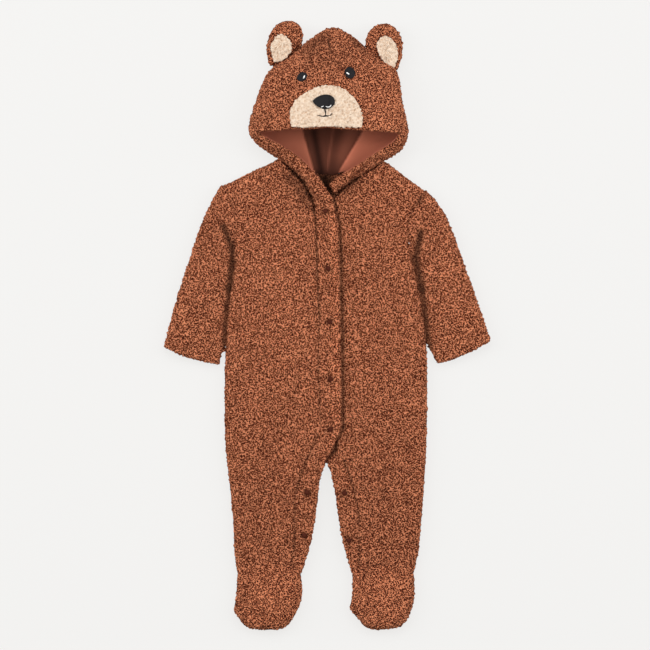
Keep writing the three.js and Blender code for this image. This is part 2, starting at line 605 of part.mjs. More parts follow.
// The back, one piece with both legs, which lies on the surface.
function back() {
  const rows = bodyRows(BACK_STEP).filter(({ v }) => Math.abs(v - CROTCH) > 0.2);
  rows.push({ v: CROTCH, drop: 0 });
  rows.sort((a, b) => a.v - b.v);
  const edges = [];
  const grid = rows.map(({ v, drop }) => {
    const leg = 1 - smooth(v, 3.5, CROTCH);
    const right = backRow("right", v, drop, leg);
    const left = backRow("left", v, drop, leg);
    const { start } = fold(0, sideCurl(v), SIDE_ROLL, WALL);
    edges.push({ right: right.inward, left: left.inward, start, leg });
    return [...right.line, ...left.line.reverse()];
  });
  const last = grid.length - 1;
  const end = grid[0].length - 1;
  const middle = (end - 1) / 2;
  return wall(grid, WALL, {
    live: (i, j) => j !== middle || rows[i].v >= CROTCH,
    square: (i, j) => {
      const { right, left, start, leg } = edges[i];
      const out = [];
      if (j === 0) out.push(edgeWay(right, start));
      if (j === end) out.push(edgeWay(left, start));
      if ((j === middle || j === middle + 1) && rows[i].v < CROTCH && leg > 0.5) out.push(UP.clone());
      if (i === 0) out.push(new THREE.Vector3(0, 1, 0));
      if (i === last && grid[i][j].z > BACK_Z + SIDE_ROLL / 2) out.push(UP.clone());
      else if (i === last) {
        const run = grid[i][Math.min(j + 1, end)].clone().sub(grid[i][Math.max(j - 1, 0)]);
        out.push(new THREE.Vector3(-run.y, run.x, 0).normalize());
      }
      return out;
    },
  });
}

// A placket: a folded band between its seam and its free edge.
function placket(seam, edge, height) {
  const rows = rowsOf(PLACKETS, `${seam}X`, `${seam}Y`, 0, PLACKET_TOP, FRONT_STEP);
  rows[rows.length - 1] -= PLACKET_END_GAP;
  const across = [0, 0.34, 0.67, 1];
  const sides = [];
  const grid = rows.map((v) => {
    const from = place(PLACKETS, `${seam}X`, `${seam}Y`, v);
    const to = place(PLACKETS, `${edge}X`, `${edge}Y`, v);
    const inward = to.clone().sub(from).normalize();
    sides.push(inward);
    from.addScaledVector(inward, SEAM / 2);
    return across.map((u) => {
      const p = from.clone().lerp(to, u);
      p.z = along(PLACKETS, height, v);
      return p;
    });
  });
  return wall(grid, BAND, {
    square: (i, j) => [
      ...(j === 0 || j === across.length - 1 ? [sides[i]] : []),
      ...(i === 0 ? [new THREE.Vector3(0, 1, 0)] : []),
      ...(i === rows.length - 1 ? [new THREE.Vector3(-sides[i].y, sides[i].x, 0)] : []),
    ],
  });
}

// A sleeve: a flattened tube from the armhole to the open hem.
function sleeve(side) {
  const table = SLEEVES[side];
  const last = table.length - 1;
  const rows = rowsOf(table, "outerX", "outerY", 0, last, FRONT_STEP);
  const armhole = (s) => place(BODY, `${side}X`, `${side}Y`, SHOULDER - (SHOULDER - ARMPIT) * s);
  const outward = side === "right" ? -1 : 1;
  const first = place(table, "outerX", "outerY", 0);
  const firstInner = place(table, "innerX", "innerY", 0);
  const grid = rows.map((w) => {
    const outer = place(table, "outerX", "outerY", w);
    const chord = place(table, "innerX", "innerY", w).sub(outer);
    const wide = chord.length();
    const nearBody = 1 - smooth(w, 0, 1.6);
    const hem = smooth(w, last - 1.5, last);
    const down = new THREE.Vector3(-chord.y, chord.x, 0).normalize().multiplyScalar(outward);
    const point = (inset, z) => {
      const s = clamp(inset / wide, 0, 1);
      const p = outer.clone().addScaledVector(chord, s);
      p.add(armhole(s).sub(first.clone().lerp(firstInner, s)).multiplyScalar(nearBody));
      p.x += outward * ARMHOLE_GAP * nearBody;
      return p.addScaledVector(down, SLEEVE_HEM_BOW * 4 * s * (1 - s) * hem).setZ(z);
    };
    const innerRoll = THREE.MathUtils.lerp(SLEEVE_INNER_ROLL, SIDE_ROLL, nearBody);
    const innerZ = BACK_Z + innerRoll;
    const to = wide - WALL / 2 - innerRoll;
    const outerFold = (a) => {
      const inset = WALL / 2 + SIDE_ROLL * (1 - Math.cos(radians(a)));
      return point(inset, SIDE_Z + SIDE_ROLL * Math.sin(radians(a)));
    };
    const innerFold = (a) => {
      const inset = wide - WALL / 2 - innerRoll * (1 - Math.cos(radians(a)));
      return point(inset, innerZ + innerRoll * Math.sin(radians(a)));
    };
    const upper = [0.12, 0.32, 0.54, 0.76, 0.92].map((u) => {
      const p = point(THREE.MathUtils.lerp(FULL_INSET, to, u), 0);
      const rim = THREE.MathUtils.lerp(SIDE_Z + SIDE_ROLL, innerZ + innerRoll, smooth(u, 0.3, 1));
      const sunk = THREE.MathUtils.lerp(SLEEVE_SINK, 0.3, nearBody) * Math.sin(Math.PI * u);
      return p.setZ(rim - sunk + foldHeight(p.x, p.y) * smooth(w, 0.5, 1.2));
    });
    const under = [0.8, 0.5, 0.2].map((u) => point(THREE.MathUtils.lerp(FULL_INSET, to, u), BACK_Z));
    return [
      ...ROLL_STEPS.map(outerFold), ...upper, ...[90, 60, 30, 0, -30, -60, -90].map(innerFold),
      ...under, ...[-90, -60, -30].map(outerFold),
    ];
  });
  return wall(grid, WALL, {
    ring: true,
    square: (i, j) => {
      if (i !== 0) return [];
      const n = grid[0].length;
      const run = grid[0][(j + 1) % n].clone().sub(grid[0][(j + n - 1) % n]).setZ(0);
      if (run.length() < 1) return [new THREE.Vector3(1, 0, 0)];
      run.normalize();
      return [new THREE.Vector3(-run.y, run.x, 0)];
    },
  });
}

// A foot's upper or sole: both fold towards the seam between them, all round but at the ankle.
function foot(side, upper) {
  const table = FEET[side];
  const turn = upper ? 1 : -1;
  const rows = rowsOf(table, "outerX", "outerY", 0, TOE - 1, 14).slice(0, -1).map((v) => ({ v, drop: 0 }));
  for (const degrees of [...ROLL_STEPS].reverse()) {
    const down = fold(degrees / 90, 1, SIDE_ROLL, WALL);
    rows.push({ v: TOE - down.inset / FULL_INSET * 0.75, drop: down.drop });
  }
  const grid = rows.map(({ v, drop }) => {
    const outer = place(table, "outerX", "outerY", v);
    const inner = place(table, "innerX", "innerY", v);
    const chord = inner.clone().sub(outer);
    const wide = chord.length();
    const inward = chord.clone().normalize();
    const toe = smooth(v, TOE - 1.2, TOE);
    const steps = ROLL_STEPS.map((degrees) => fold(degrees / 90, 1, SIDE_ROLL, WALL));
    const from = steps.at(-1).inset;
    const point = (inset, fall) => {
      const s = inset / wide;
      const p = outer.clone().addScaledVector(inward, inset);
      p.y -= TOE_BOW * 4 * s * (1 - s) * toe;
      const lift = SIDE_ROLL * (1 - fall / SIDE_ROLL) * (1 - drop / SIDE_ROLL);
      const dome = upper ? FOOT_DOME * smooth(v, 0, 1.6) * Math.sin(Math.PI * clamp(s, 0, 1)) ** 0.8 : 0;
      p.z = SIDE_Z + turn * (lift + dome * (1 - drop / SIDE_ROLL) * (1 - fall / SIDE_ROLL));
      if (upper && v < 0.01) p.z = Math.min(p.z, SIDE_Z + SIDE_ROLL);
      return p;
    };
    const edge = steps.map(({ inset, drop: fall }) => point(inset, fall));
    const shares = upper ? [0.12, 0.3, 0.5, 0.7, 0.88] : [0.25, 0.5, 0.75];
    const middle = shares.map((u) => point(from + (wide - 2 * from) * u, 0));
    const far = [...steps].reverse().map(({ inset, drop: fall }) => point(wide - inset, fall));
    const line = [...edge, ...middle, ...far];
    line[0].z += (turn * SEAM) / 2;
    line.at(-1).z += (turn * SEAM) / 2;
    return line;
  });
  const last = grid.length - 1;
  for (const p of grid[last].slice(1, -1)) p.z += (turn * SEAM) / 2;
  return wall(grid, WALL, {
    square: (i, j) => {
      const out = [];
      if (j === 0 || j === grid[0].length - 1 || i === last) out.push(UP.clone());
      if (i === 0) out.push(new THREE.Vector3(0, 1, 0));
      return out;
    },
  });
}

// A point on the middle surface of a hood half. k is the row, and angle goes from 90 degrees at the
// centre seam on top, past 0 at the outer fold, to -90 at the centre seam underneath.
function hoodPoint(side, k, angle) {
  const table = HOODS[side];
  const sign = side === "right" ? -1 : 1;
  const centre = (column) => along(CENTRE, column, k);
  const sil = k <= NECK_POINT
    ? place(table.slice(0, NECK_POINT + 1), "silX", "silY", k)
    : place(side === "right" ? NECK_RIGHT : NECK_LEFT, "x", "y", k - NECK_POINT);
  const under = place(CENTRE.slice(0, NECK_POINT + 1), "underX", "underY", Math.min(k, NECK_POINT));
  const brimmed = k <= BRIM;
  const aim = brimmed
    ? place(CENTRE.slice(0, BRIM + 1), "topX", "topY", k)
    : place(table.slice(BRIM - 1), "lipX", "lipY", k - BRIM + 1);
  const inward = aim.clone().sub(sil).normalize();
  const atNeck = 2 * SEAM * smooth(k, NECK_POINT - 1, NECK_POINT);
  const rim = sil.clone().addScaledVector(inward, WALL / 2 + atNeck);
  const mid = centre("mid");
  const keep = THREE.MathUtils.lerp(CROWN_SEAM, HOOD_SEAM, smooth(k, 0, CROWN_ROWS));
  if (angle < 0) {
    const reach = Math.cos(radians(angle)) ** (2 / UNDER_POWER);
    const fall = Math.sin(radians(-angle)) ** (2 / UNDER_POWER);
    const p = under.clone().lerp(rim, reach);
    if (k > BRIM) p.y = THREE.MathUtils.lerp(under.y, rim.y, reach ** 1.6);
    p.x += sign * keep * (k > 0 ? 1 - reach : 1);
    return p.setZ(mid - (mid - BACK_Z) * fall);
  }
  const power = 2 / HOOD_POWER;
  if (brimmed) {
    const reach = Math.cos(radians(angle)) ** power;
    const lift = Math.sin(radians(angle)) ** power;
    const p = aim.clone().lerp(rim, reach);
    p.x += sign * keep * (k > 0 ? 1 - reach : 1);
    return p.setZ(mid + (along(CENTRE.slice(0, BRIM + 1), "top", k) - mid) * lift);
  }
  const turn = along(CENTRE.slice(BRIM), "turn", k - BRIM);
  const share = angle / CENTRE[BRIM].turn;
  const a = radians(turn * share);
  const reach = (1 - Math.cos(a) ** power) / (1 - Math.cos(radians(turn)) ** power);
  const lift = (Math.sin(a) / Math.sin(radians(turn))) ** power;
  const lip = along(CENTRE.slice(BRIM - 1), "lip", k - BRIM + 1);
  return rim.lerp(aim, reach).setZ(mid + (lip - mid) * lift);
}

const TOP_ANGLES = [90, 79, 68, 57, 46, 35];
const LIP_ANGLES = [CENTRE[BRIM].turn, 16.4, 8.2];
const LINING_ROWS = [2, 3, 4, 5, 6, 7, 7.5, 8, 8.5, 9, 9.5, 10, 10.5, 11];
const HOOD_HEART = 2; // height over a row's middle of a point that is inside the hood
const LINING_NECK = 8.5; // above this row the lining is cut away at the neck point
const UNDER_ANGLES = [0, -10, -25, -42, -58, -72, -82, -90];

// A hood half, or its lining, which lies inside it by the given distance.
function hoodHalf(side, { rows, neck, end, inside, thickness }) {
  const angles = [...TOP_ANGLES, ...LIP_ANGLES, ...UNDER_ANGLES];
  const lip = TOP_ANGLES.length;
  const foldColumn = lip + LIP_ANGLES.length;
  const atLip = (k, a) => (k > BRIM ? Math.min(a, LIP_ANGLES[0]) : a);
  let grid = rows.map((k) => angles.map((a) => hoodPoint(side, k, atLip(k, a))));
  const live = (i, j) => {
    const k = (rows[i] + rows[i + 1]) / 2;
    if (k > end) return false;
    if (k > NECK_POINT) return j >= lip && j < foldColumn;
    if (k > neck) return (j >= lip && j < foldColumn) || j >= foldColumn + 4;
    if (k > BRIM) return j >= lip;
    return true;
  };
  if (inside) {
    grid = grid.map((line, i) => line.map((p, j) => {
      const k = rows[i];
      const seam = j === 0 || j === angles.length - 1;
      const lowJ = k > BRIM ? lip : 0;
      const highJ = k > NECK_POINT ? foldColumn : angles.length - 1;
      if (j < lowJ || j > highJ) return p.clone();
      const a = line[Math.max(j - 1, lowJ)];
      const b = line[Math.min(j + 1, highJ)];
      const before = grid[Math.max(i - 1, 0)][j];
      const canGoOn = rows[i + 1] !== undefined && live(i, Math.min(Math.max(j, lowJ), highJ - 1));
      const after = canGoOn ? grid[i + 1][j] : p;
      const normal = b.clone().sub(a).cross(after.clone().sub(before)).normalize();
      if (seam) normal.setX(0).normalize();
      const target = new THREE.Vector3(0, p.y, along(CENTRE, "mid", k) + HOOD_HEART);
      if (normal.dot(target.sub(p)) < 0) normal.negate();
      return p.clone().addScaledVector(normal, inside);
    }));
  }
  return wall(grid, thickness, {
    live,
    square: (i, j) => {
      const k = rows[i];
      const out = [];
      if (j === 0 || j === angles.length - 1 || k === 0) out.push(new THREE.Vector3(1, 0, 0));
      if (k === BRIM && j < lip) out.push(new THREE.Vector3(0, 1, 0));
      if (Math.abs(k - NECK_POINT) < 1e-6 && j > foldColumn) {
        const line = grid[i];
        const flow = line[Math.min(j + 1, angles.length - 1)].clone().sub(line[j - 1]).setZ(0).normalize();
        out.push(new THREE.Vector3(-flow.y, flow.x, 0));
      }
      if (k > NECK_POINT && j === foldColumn) out.push(UP.clone());
      if (k === HOOD_END) {
        const line = grid[i][foldColumn].clone().sub(grid[i][lip]).setZ(0).normalize();
        out.push(new THREE.Vector3(-line.y, line.x, 0));
      }
      return out;
    },
  });
}
const hoodRows = (from, perRow, end) => {
  const out = [];
  for (let n = 0; from + n / perRow <= end; n++) out.push(from + n / perRow);
  return out;
};

// Outer surface of the hood's upper layer: its height over a point.
function hoodTop(x, y) {
  const side = x < 3 ? "right" : "left";
  const row = (k) => {
    const seam = place(CENTRE.slice(0, BRIM + 1), "topX", "topY", k);
    const sil = place(HOODS[side].slice(0, NECK_POINT + 1), "silX", "silY", k);
    const inward = seam.clone().sub(sil).normalize();
    return { seam, rim: sil.addScaledVector(inward, WALL / 2) };
  };
  const target = new THREE.Vector3(x, y, 0);
  let low = 0.2;
  let high = BRIM;
  const above = (k) => {
    const { seam, rim } = row(k);
    const chord = rim.clone().sub(seam);
    const off = target.clone().sub(seam);
    return (chord.x * off.y - chord.y * off.x) * (side === "right" ? -1 : 1);
  };
  for (let n = 0; n < 40; n++) {
    const k = (low + high) / 2;
    if (above(k) > 0) high = k;
    else low = k;
  }
  const k = (low + high) / 2;
  const { seam, rim } = row(k);
  const chord = rim.clone().sub(seam);
  const reach = clamp(target.clone().sub(seam).dot(chord) / chord.lengthSq(), 0, 1);
  const mid = along(CENTRE, "mid", k);
  const lift = (1 - reach ** HOOD_POWER) ** (1 / HOOD_POWER);
  return mid + (along(CENTRE.slice(0, BRIM + 1), "top", k) - mid) * lift;
}

// A patch that lies on a surface given by its height, moved out by a distance.
function patch(height, outline, centre, out, thickness, shares) {
  const lie = (x, y) => {
    const h = 1.5;
    const normal = new THREE.Vector3(
      (height(x - h, y) - height(x + h, y)) / (2 * h),
      (height(x, y - h) - height(x, y + h)) / (2 * h),
      1,
    ).normalize();
    return new THREE.Vector3(x, y, height(x, y)).addScaledVector(normal, out + thickness / 2);
  };
  const middle = new THREE.Vector3(centre[0], centre[1], 0);
  const rings = shares.map((share) => outline.map((p) => {
    const q = middle.clone().lerp(p, share);
    return lie(q.x, q.y);
  }));
  return disc(rings, lie(centre[0], centre[1]), thickness);
}

// Outline of an ear: its free edge and, along its base, the outer fold of the hood.
function earOutline(side) {
  const { outline, base } = EARS[side];
  const table = HOODS[side].slice(0, NECK_POINT + 1);
  const feet = base.map((k) => {
    const before = place(table, "silX", "silY", k - 0.05);
    const run = place(table, "silX", "silY", k + 0.05).sub(before).normalize();
    const out = new THREE.Vector3(run.y, -run.x, 0).multiplyScalar(side === "right" ? 1 : -1);
    if (out.y < 0) out.negate();
    const p = place(table, "silX", "silY", k).addScaledVector(out, EAR_SEAT);
    return [p.x, p.y];
  });
  return outlineOf([...outline, ...feet], 18);
}
const earHeight = (centre) => (x, y) => {
  const far = Math.hypot(x - centre[0], y - centre[1]);
  return EAR_Z + EAR_ROLL + EAR_DOME * Math.max(0, 1 - (far / EAR_REACH) ** 2);
};

// An ear's front (turn 1) or back (turn -1).
function ear(side, turn) {
  const outline = earOutline(side);
  const centre = EARS[side].centre;
  const n = outline.length;
  const inwardAt = outline.map((_, j) => {
    const run = outline[(j + 1) % n].clone().sub(outline[(j + n - 1) % n]).normalize();
    const normal = new THREE.Vector3(-run.y, run.x, 0);
    const home = new THREE.Vector3(centre[0], centre[1], 0).sub(outline[j]);
    return normal.dot(home) < 0 ? normal.negate() : normal;
  });
  const high = earHeight(centre);
  const lie = (p) => p.setZ(EAR_Z + turn * (high(p.x, p.y) - EAR_Z));
  const steps = [...ROLL_STEPS].reverse().map((degrees) => fold(degrees / 90, 1, EAR_ROLL, EAR_WALL));
  const rolled = steps.map(({ inset, drop }) => outline.map((p, j) => {
    const q = p.clone().addScaledVector(inwardAt[j], inset);
    return q.setZ(EAR_Z + turn * (EAR_ROLL - drop) + (drop === EAR_ROLL ? (turn * SEAM) / 2 : 0));
  }));
  const middle = new THREE.Vector3(centre[0], centre[1], 0);
  const inner = rolled[0].map((p) => lie(middle.clone().lerp(p.clone().setZ(0), EAR_RING)));
  const rings = [inner, ...rolled];
  return disc(rings, lie(middle.clone()), EAR_WALL, (i) => (i === rings.length - 1 ? [UP] : []));
}

// An oval outline about a point.
function oval({ centre, long, short, tilt }, n) {
  return Array.from({ length: n }, (_, j) => {
    const a = (2 * Math.PI * j) / n;
    const u = long * Math.cos(a);
    const w = short * Math.sin(a);
    const c = Math.cos(radians(tilt));
    const s = Math.sin(radians(tilt));
    return new THREE.Vector3(centre[0] + u * c - w * s, centre[1] + u * s + w * c, 0);
  });
}

// A snap's cap, domed, standing on a placket.
function snapCap() {
  const { radius, height, sides } = SNAP;
  const profile = [[0, 0], [radius, 0], [radius - 0.2, height * 0.6], [radius * 0.6, height], [0, height]];
  const shape = new THREE.LatheGeometry(profile.map(([r, z]) => new THREE.Vector2(r, z)), sides);
  return shape.rotateX(Math.PI / 2);
}

const cloth = (color, roughness = 0.95) => () =>
  new THREE.MeshStandardMaterial({ color, roughness, metalness: 0 });
const fleece = cloth(0x94543c);
const bandCloth = cloth(0x8d5039);
const jersey = cloth(0x98583f, 0.85);
const pale = cloth(0xe2cbb3);
const felt = cloth(0x262327, 0.7);
const enamel = cloth(0x7a4433, 0.45);

const garment = new THREE.Group();
garment.name = "hooded_onesie";
function add(name, geometry, material) {
  const mesh = new THREE.Mesh(geometry, material());
  mesh.name = name;
  garment.add(mesh);
  return mesh;
}

add("back", back(), fleece);
for (const side of ["right", "left"]) {
  add(`front_${side}`, front(side), fleece);
  add(`sleeve_${side}`, sleeve(side), fleece);
  add(`foot_top_${side}`, foot(side, true), fleece);
  add(`foot_sole_${side}`, foot(side, false), fleece);
  add(`hood_${side}`, hoodHalf(side, {
    rows: hoodRows(0, 2, HOOD_END), neck: NECK_POINT, end: HOOD_END, inside: 0, thickness: WALL,
  }), fleece);
  add(`hood_lining_${side}`, hoodHalf(side, {
    rows: LINING_ROWS, neck: LINING_NECK, end: LINING_ROWS.at(-1),
    inside: WALL / 2 + LINING_GAP + LINING / 2, thickness: LINING,
  }), jersey);
  add(`ear_front_${side}`, ear(side, 1), fleece);
  add(`ear_back_${side}`, ear(side, -1), fleece);
  const { inner, centre } = EARS[side];
  const onEar = EAR_WALL / 2 + 1.6 * SEAM;
  const insert = patch(earHeight(centre), outlineOf(inner, 18), centre, onEar, PALE_PILE, [0.55, 1]);
  add(`ear_inner_${side}`, insert, pale);
}
add("placket_right", placket("seam", "edge", "z"), bandCloth);
add("placket_left", placket("under", "underEdge", "underZ"), bandCloth);

const onHood = WALL / 2 + SEAM;
const onMuzzle = onHood + PALE_PILE + SEAM;
const muzzleEdge = outlineOf(MUZZLE.outline, 28);
const noseEdge = outlineOf(NOSE.outline, 18);
add("muzzle", patch(hoodTop, muzzleEdge, MUZZLE.centre, onHood, PALE_PILE, [0.35, 0.7, 1]), pale);
add("nose", patch(hoodTop, noseEdge, NOSE.centre, onMuzzle, FELT, [0.55, 1]), felt);
for (const side of ["right", "left"]) {
  const eye = EYES[side];
  add(`eye_${side}`, patch(hoodTop, oval(eye, 14), eye.centre, onHood, FELT, [1]), felt);
}

SNAPS.forEach(({ x, y, under }, i) => {
  const above = PLACKETS.findIndex((row) => row.seamY > y);
  const { seamY } = PLACKETS[above - 1];
  const v = above - 1 + (y - seamY) / (PLACKETS[above].seamY - seamY);
  const cap = add(`snap_${i + 1}`, snapCap(), enamel);
  cap.position.set(x, y, along(PLACKETS, under ? "underZ" : "z", v) + BAND / 2 + SEAM);
});

export default garment;
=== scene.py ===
import math

import bmesh
import bpy
import numpy as np
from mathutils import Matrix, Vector
from mathutils.bvhtree import BVHTree


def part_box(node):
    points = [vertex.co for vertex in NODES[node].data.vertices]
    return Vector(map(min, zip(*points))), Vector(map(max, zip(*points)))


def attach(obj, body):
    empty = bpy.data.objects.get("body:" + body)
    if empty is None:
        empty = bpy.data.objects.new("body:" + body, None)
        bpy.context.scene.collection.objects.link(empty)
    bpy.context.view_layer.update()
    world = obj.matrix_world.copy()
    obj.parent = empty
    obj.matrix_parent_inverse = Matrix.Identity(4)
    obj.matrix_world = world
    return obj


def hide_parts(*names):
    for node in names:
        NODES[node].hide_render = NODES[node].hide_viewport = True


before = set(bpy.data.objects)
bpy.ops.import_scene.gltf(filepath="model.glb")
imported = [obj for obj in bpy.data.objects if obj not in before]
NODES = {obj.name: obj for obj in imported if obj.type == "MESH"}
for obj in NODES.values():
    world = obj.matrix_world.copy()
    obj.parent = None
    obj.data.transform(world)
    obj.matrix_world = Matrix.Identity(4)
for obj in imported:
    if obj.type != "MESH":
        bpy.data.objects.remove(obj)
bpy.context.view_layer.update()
MM = 0.001

# Camera and floor, in millimetres
SPAN = 845.0  # width of the picture at the garment's height
CENTRE = (-2.6, 0.65)
CAMERA_Z = 12000.0
GARMENT_Z = 18.0

# Pile
FINE = 2.0  # longest edge of the piled mesh
UNDER_FINE = 3.6  # and where it lies on the surface, which keeps each piece under 200,000 triangles
UNDER_Z = 3.0  # height up to which it does
LINING_FINE = 3.5  # longest edge of the lining
PILE_WAVE = (3.6, 5.6)  # wavelengths of the curls
PILE_HEIGHT = 1.45
RIDGE_WAVE = (5.0, 8.0)
CLUMP_WAVE = (14.0, 30.0)
CLUMP_HEIGHT = 0.5
CURL = 1.75  # distance between the pits of the colour and the bump
FLAT_Z = (0.4, 4.5)  # no pile stands out below the first height, all of it above the second
FLAT_PIT = 0.45  # depth of the pits where the cloth lies flat on the surface
SPLIT_PASSES = 8  # each one halves the edges that are too long

# Rays, in mm: where they start off a face, how far they look, and what counts as covered
RAY_START = 0.08
RAY_REACH = 26.0
TOUCHING = 2.6  # another piece lies on the face
INSIDE = 24.0  # the face looks into the garment
RAY_TOP = 120  # height from which rays are cast down at the face of the hood

# Pieces: material slot, the cut's width and length in mm, its area in square mm, how it is held
FLEECE = "fleece"
PALE = "pale_fleece"
PIECES = {
    "back": (FLEECE, 281, 545, 129500, "laid"),
    "front_right": (FLEECE, 136, 548, 58900, "laid"),
    "front_left": (FLEECE, 137, 546, 56800, "laid"),
    "sleeve_right": (FLEECE, 166, 215, 25900, "laid"),
    "sleeve_left": (FLEECE, 170, 218, 27200, "laid"),
    "foot_top_right": (FLEECE, 104, 85, 7100, "laid"),
    "foot_top_left": (FLEECE, 98, 85, 6700, "laid"),
    "foot_sole_right": (FLEECE, 96, 80, 6500, "laid"),
    "foot_sole_left": (FLEECE, 90, 80, 6100, "laid"),
    "hood_right": (FLEECE, 235, 270, 31900, "gathered"),
    "hood_left": (FLEECE, 240, 260, 33500, "gathered"),
    "ear_front_right": (FLEECE, 55, 68, 2450, "laid"),
    "ear_front_left": (FLEECE, 55, 68, 2400, "laid"),
    "ear_back_right": (FLEECE, 55, 68, 2450, "laid"),
    "ear_back_left": (FLEECE, 55, 68, 2400, "laid"),
    "ear_inner_right": (PALE, 29, 37, 880, "laid"),
    "ear_inner_left": (PALE, 29, 37, 840, "laid"),
    "muzzle": (PALE, 98, 58, 4670, "laid"),
    "placket_right": (FLEECE, 34, 500, 15800, "laid"),
    "placket_left": (FLEECE, 30, 500, 12300, "laid"),
}
LININGS = {
    "hood_lining_right": (215, 190, 24900, "gathered"),
    "hood_lining_left": (215, 190, 26200, "gathered"),
}
# Seams: what each piece is sewn to, and over what gap in mm the scene closes it
SEAMS = {
    "sleeve_right": [(("front_right", "back"), 4.2)],
    "sleeve_left": [(("front_left", "back"), 4.2)],
    "ear_front_right": [(("hood_right",), 3.2)],
    "ear_front_left": [(("hood_left",), 3.2)],
    "ear_back_right": [(("hood_right",), 3.2)],
    "ear_back_left": [(("hood_left",), 3.2)],
    "hood_right": [(("hood_left", "front_right", "back"), 1.5)],
    "hood_left": [(("hood_right", "front_left", "back"), 1.5)],
    "hood_lining_right": [(("hood_lining_left",), 1.8), (("back",), 6.0)],
    "hood_lining_left": [(("hood_lining_right",), 1.8), (("back",), 6.0)],
    "placket_right": [(("hood_right", "front_right"), 1.2)],
    "placket_left": [(("hood_left", "front_left"), 1.2)],
    "front_right": [(("foot_top_right", "placket_right"), 1.2), (("sleeve_right",), 1.8)],
    "front_left": [(("foot_top_left", "placket_left"), 1.2), (("sleeve_left",), 1.8)],
    "foot_top_right": [(("front_right", "foot_sole_right", "placket_right"), 1.4)],
    "foot_top_left": [(("front_left", "foot_sole_left", "placket_left"), 1.4)],
    "foot_sole_right": [(("back", "foot_top_right"), 1.4)],
    "foot_sole_left": [(("back", "foot_top_left"), 1.4)],
}
OVERLAP = 0.5  # how far a closed seam reaches into its neighbour, mm

# Painted shade in folds, creases and under raised edges, and dark lines along seams: width and darkness, then
# the points
SHADES = {
    "armpit_right": (4.6, 0.8, [(-135, 129), (-130, 119), (-125, 104), (-123, 88), (-125, 69), (-128, 47)]),
    "under_sleeve_right": (3.2, 0.65, [(-128, 47), (-131, 25), (-133, 3), (-134.5, -26)]),
    "armpit_left": (4.8, 0.8, [(122, 121), (117.5, 101), (115.5, 87), (119.5, 69), (124, 47)]),
    "under_sleeve_left": (3.8, 0.7, [(124, 47), (128, 24), (130.5, -8), (133, -28)]),
    "armhole_left": (1.4, 0.7, [(129, 177), (122, 162), (112, 150), (106.7, 134), (106, 113)]),
    "armhole_right": (1.2, 0.3, [(-126, 165), (-121, 150), (-119, 130)]),
    "crown_right": (8.0, 0.4, [(-24, 358), (-6, 374)]),
    "crown_left": (5.0, 0.45, [(34, 370), (48, 358)]),
    "crown_seam": (1.4, 0.7, [(1, 371), (5.5, 354)]),
    "neck_right": (2.8, 0.75, [(-45, 199), (-37.4, 192.4), (-29.4, 186), (-27.4, 174.4), (-21.5, 168.5)]),
    "neck_right_soft": (11.0, 0.5, [(-48, 192), (-38, 181), (-25, 162)]),
    "neck_left": (2.8, 0.75, [(38, 189.4), (30, 184.4), (20, 176.4)]),
    "neck_left_soft": (8.0, 0.3, [(42, 186), (22, 170)]),
    "placket_top": (2.4, 0.65, [(8.4, 164.5), (12.4, 148.6), (16.3, 132.6)]),
    "placket_fall": (
        2.6, 0.66, [(17, 128), (19, 83), (18.5, 48), (20, 8), (20.2, -41), (20.7, -104), (21.3, -133)]
    ),
    "placket_foot": (2.2, 0.65, [(21.3, -133), (14.3, -149), (11, -161), (0.4, -174)]),
    "crotch": (3.2, 0.7, [(12, -157), (9, -164)]),
    "placket_seam": (
        1.4, 0.72, [(-19.5, 153), (-15.3, 141), (-13.6, 111), (-12.5, 65), (-11.3, 37), (-9.9, 8)]
    ),
    "placket_seam_low": (1.3, 0.5, [(-9.9, 8), (-11.2, -21), (-11.2, -58), (-9.5, -100), (-8.3, -127)]),
    "inseam_right": (1.5, 0.5, [(-12, -142), (-35, -196), (-42.5, -225), (-42.5, -287), (-46, -313)]),
    "inseam_left": (1.5, 0.45, [(22, -176), (31.4, -200), (41.4, -240), (41.4, -313)]),
}
LIT = {  # painted light and shade on broad parts that are lighter or darker than the rest, in the same form
    "placket_edge": (5.0, -0.2, [(4, 160), (8, 130), (11, 60), (11.5, 0), (12, -70), (12, -130), (4, -155)]),
    "foot_right": (34.0, -0.15, [(-78, -366), (-72, -350)]),
    "foot_left": (34.0, -0.15, [(76, -366), (72, -350)]),
    "leg_right": (44.0, 0.06, [(-70, -170), (-80, -270)]),
    "leg_left": (44.0, 0.06, [(70, -170), (80, -270)]),
    "brow": (17.0, 0.2, [(-20, 346), (0, 352), (16, 342)]),
    "hood_left_side": (26.0, -0.12, [(74, 312), (80, 276)]),
    "sleeve_left_middle": (26.0, -0.08, [(150, 60), (176, 8)]),
    "chest_right": (34.0, -0.06, [(-62, 100), (-62, 20)]),
}
SNAP_SHADE = (5.5, 0.5)  # width and darkness of the painted shade in the sunk pile around a snap
CAP_SHARE = 0.74  # of each cap's width, which shows between the pile
# Painted shade on the back's inside, seen through the neck
NECK_SHADE = {"neck": (12.0, 0.95, [(-4, 190), (0, 176)]), "neck_wide": (24.0, 0.6, [(0, 196), (0, 186)])}

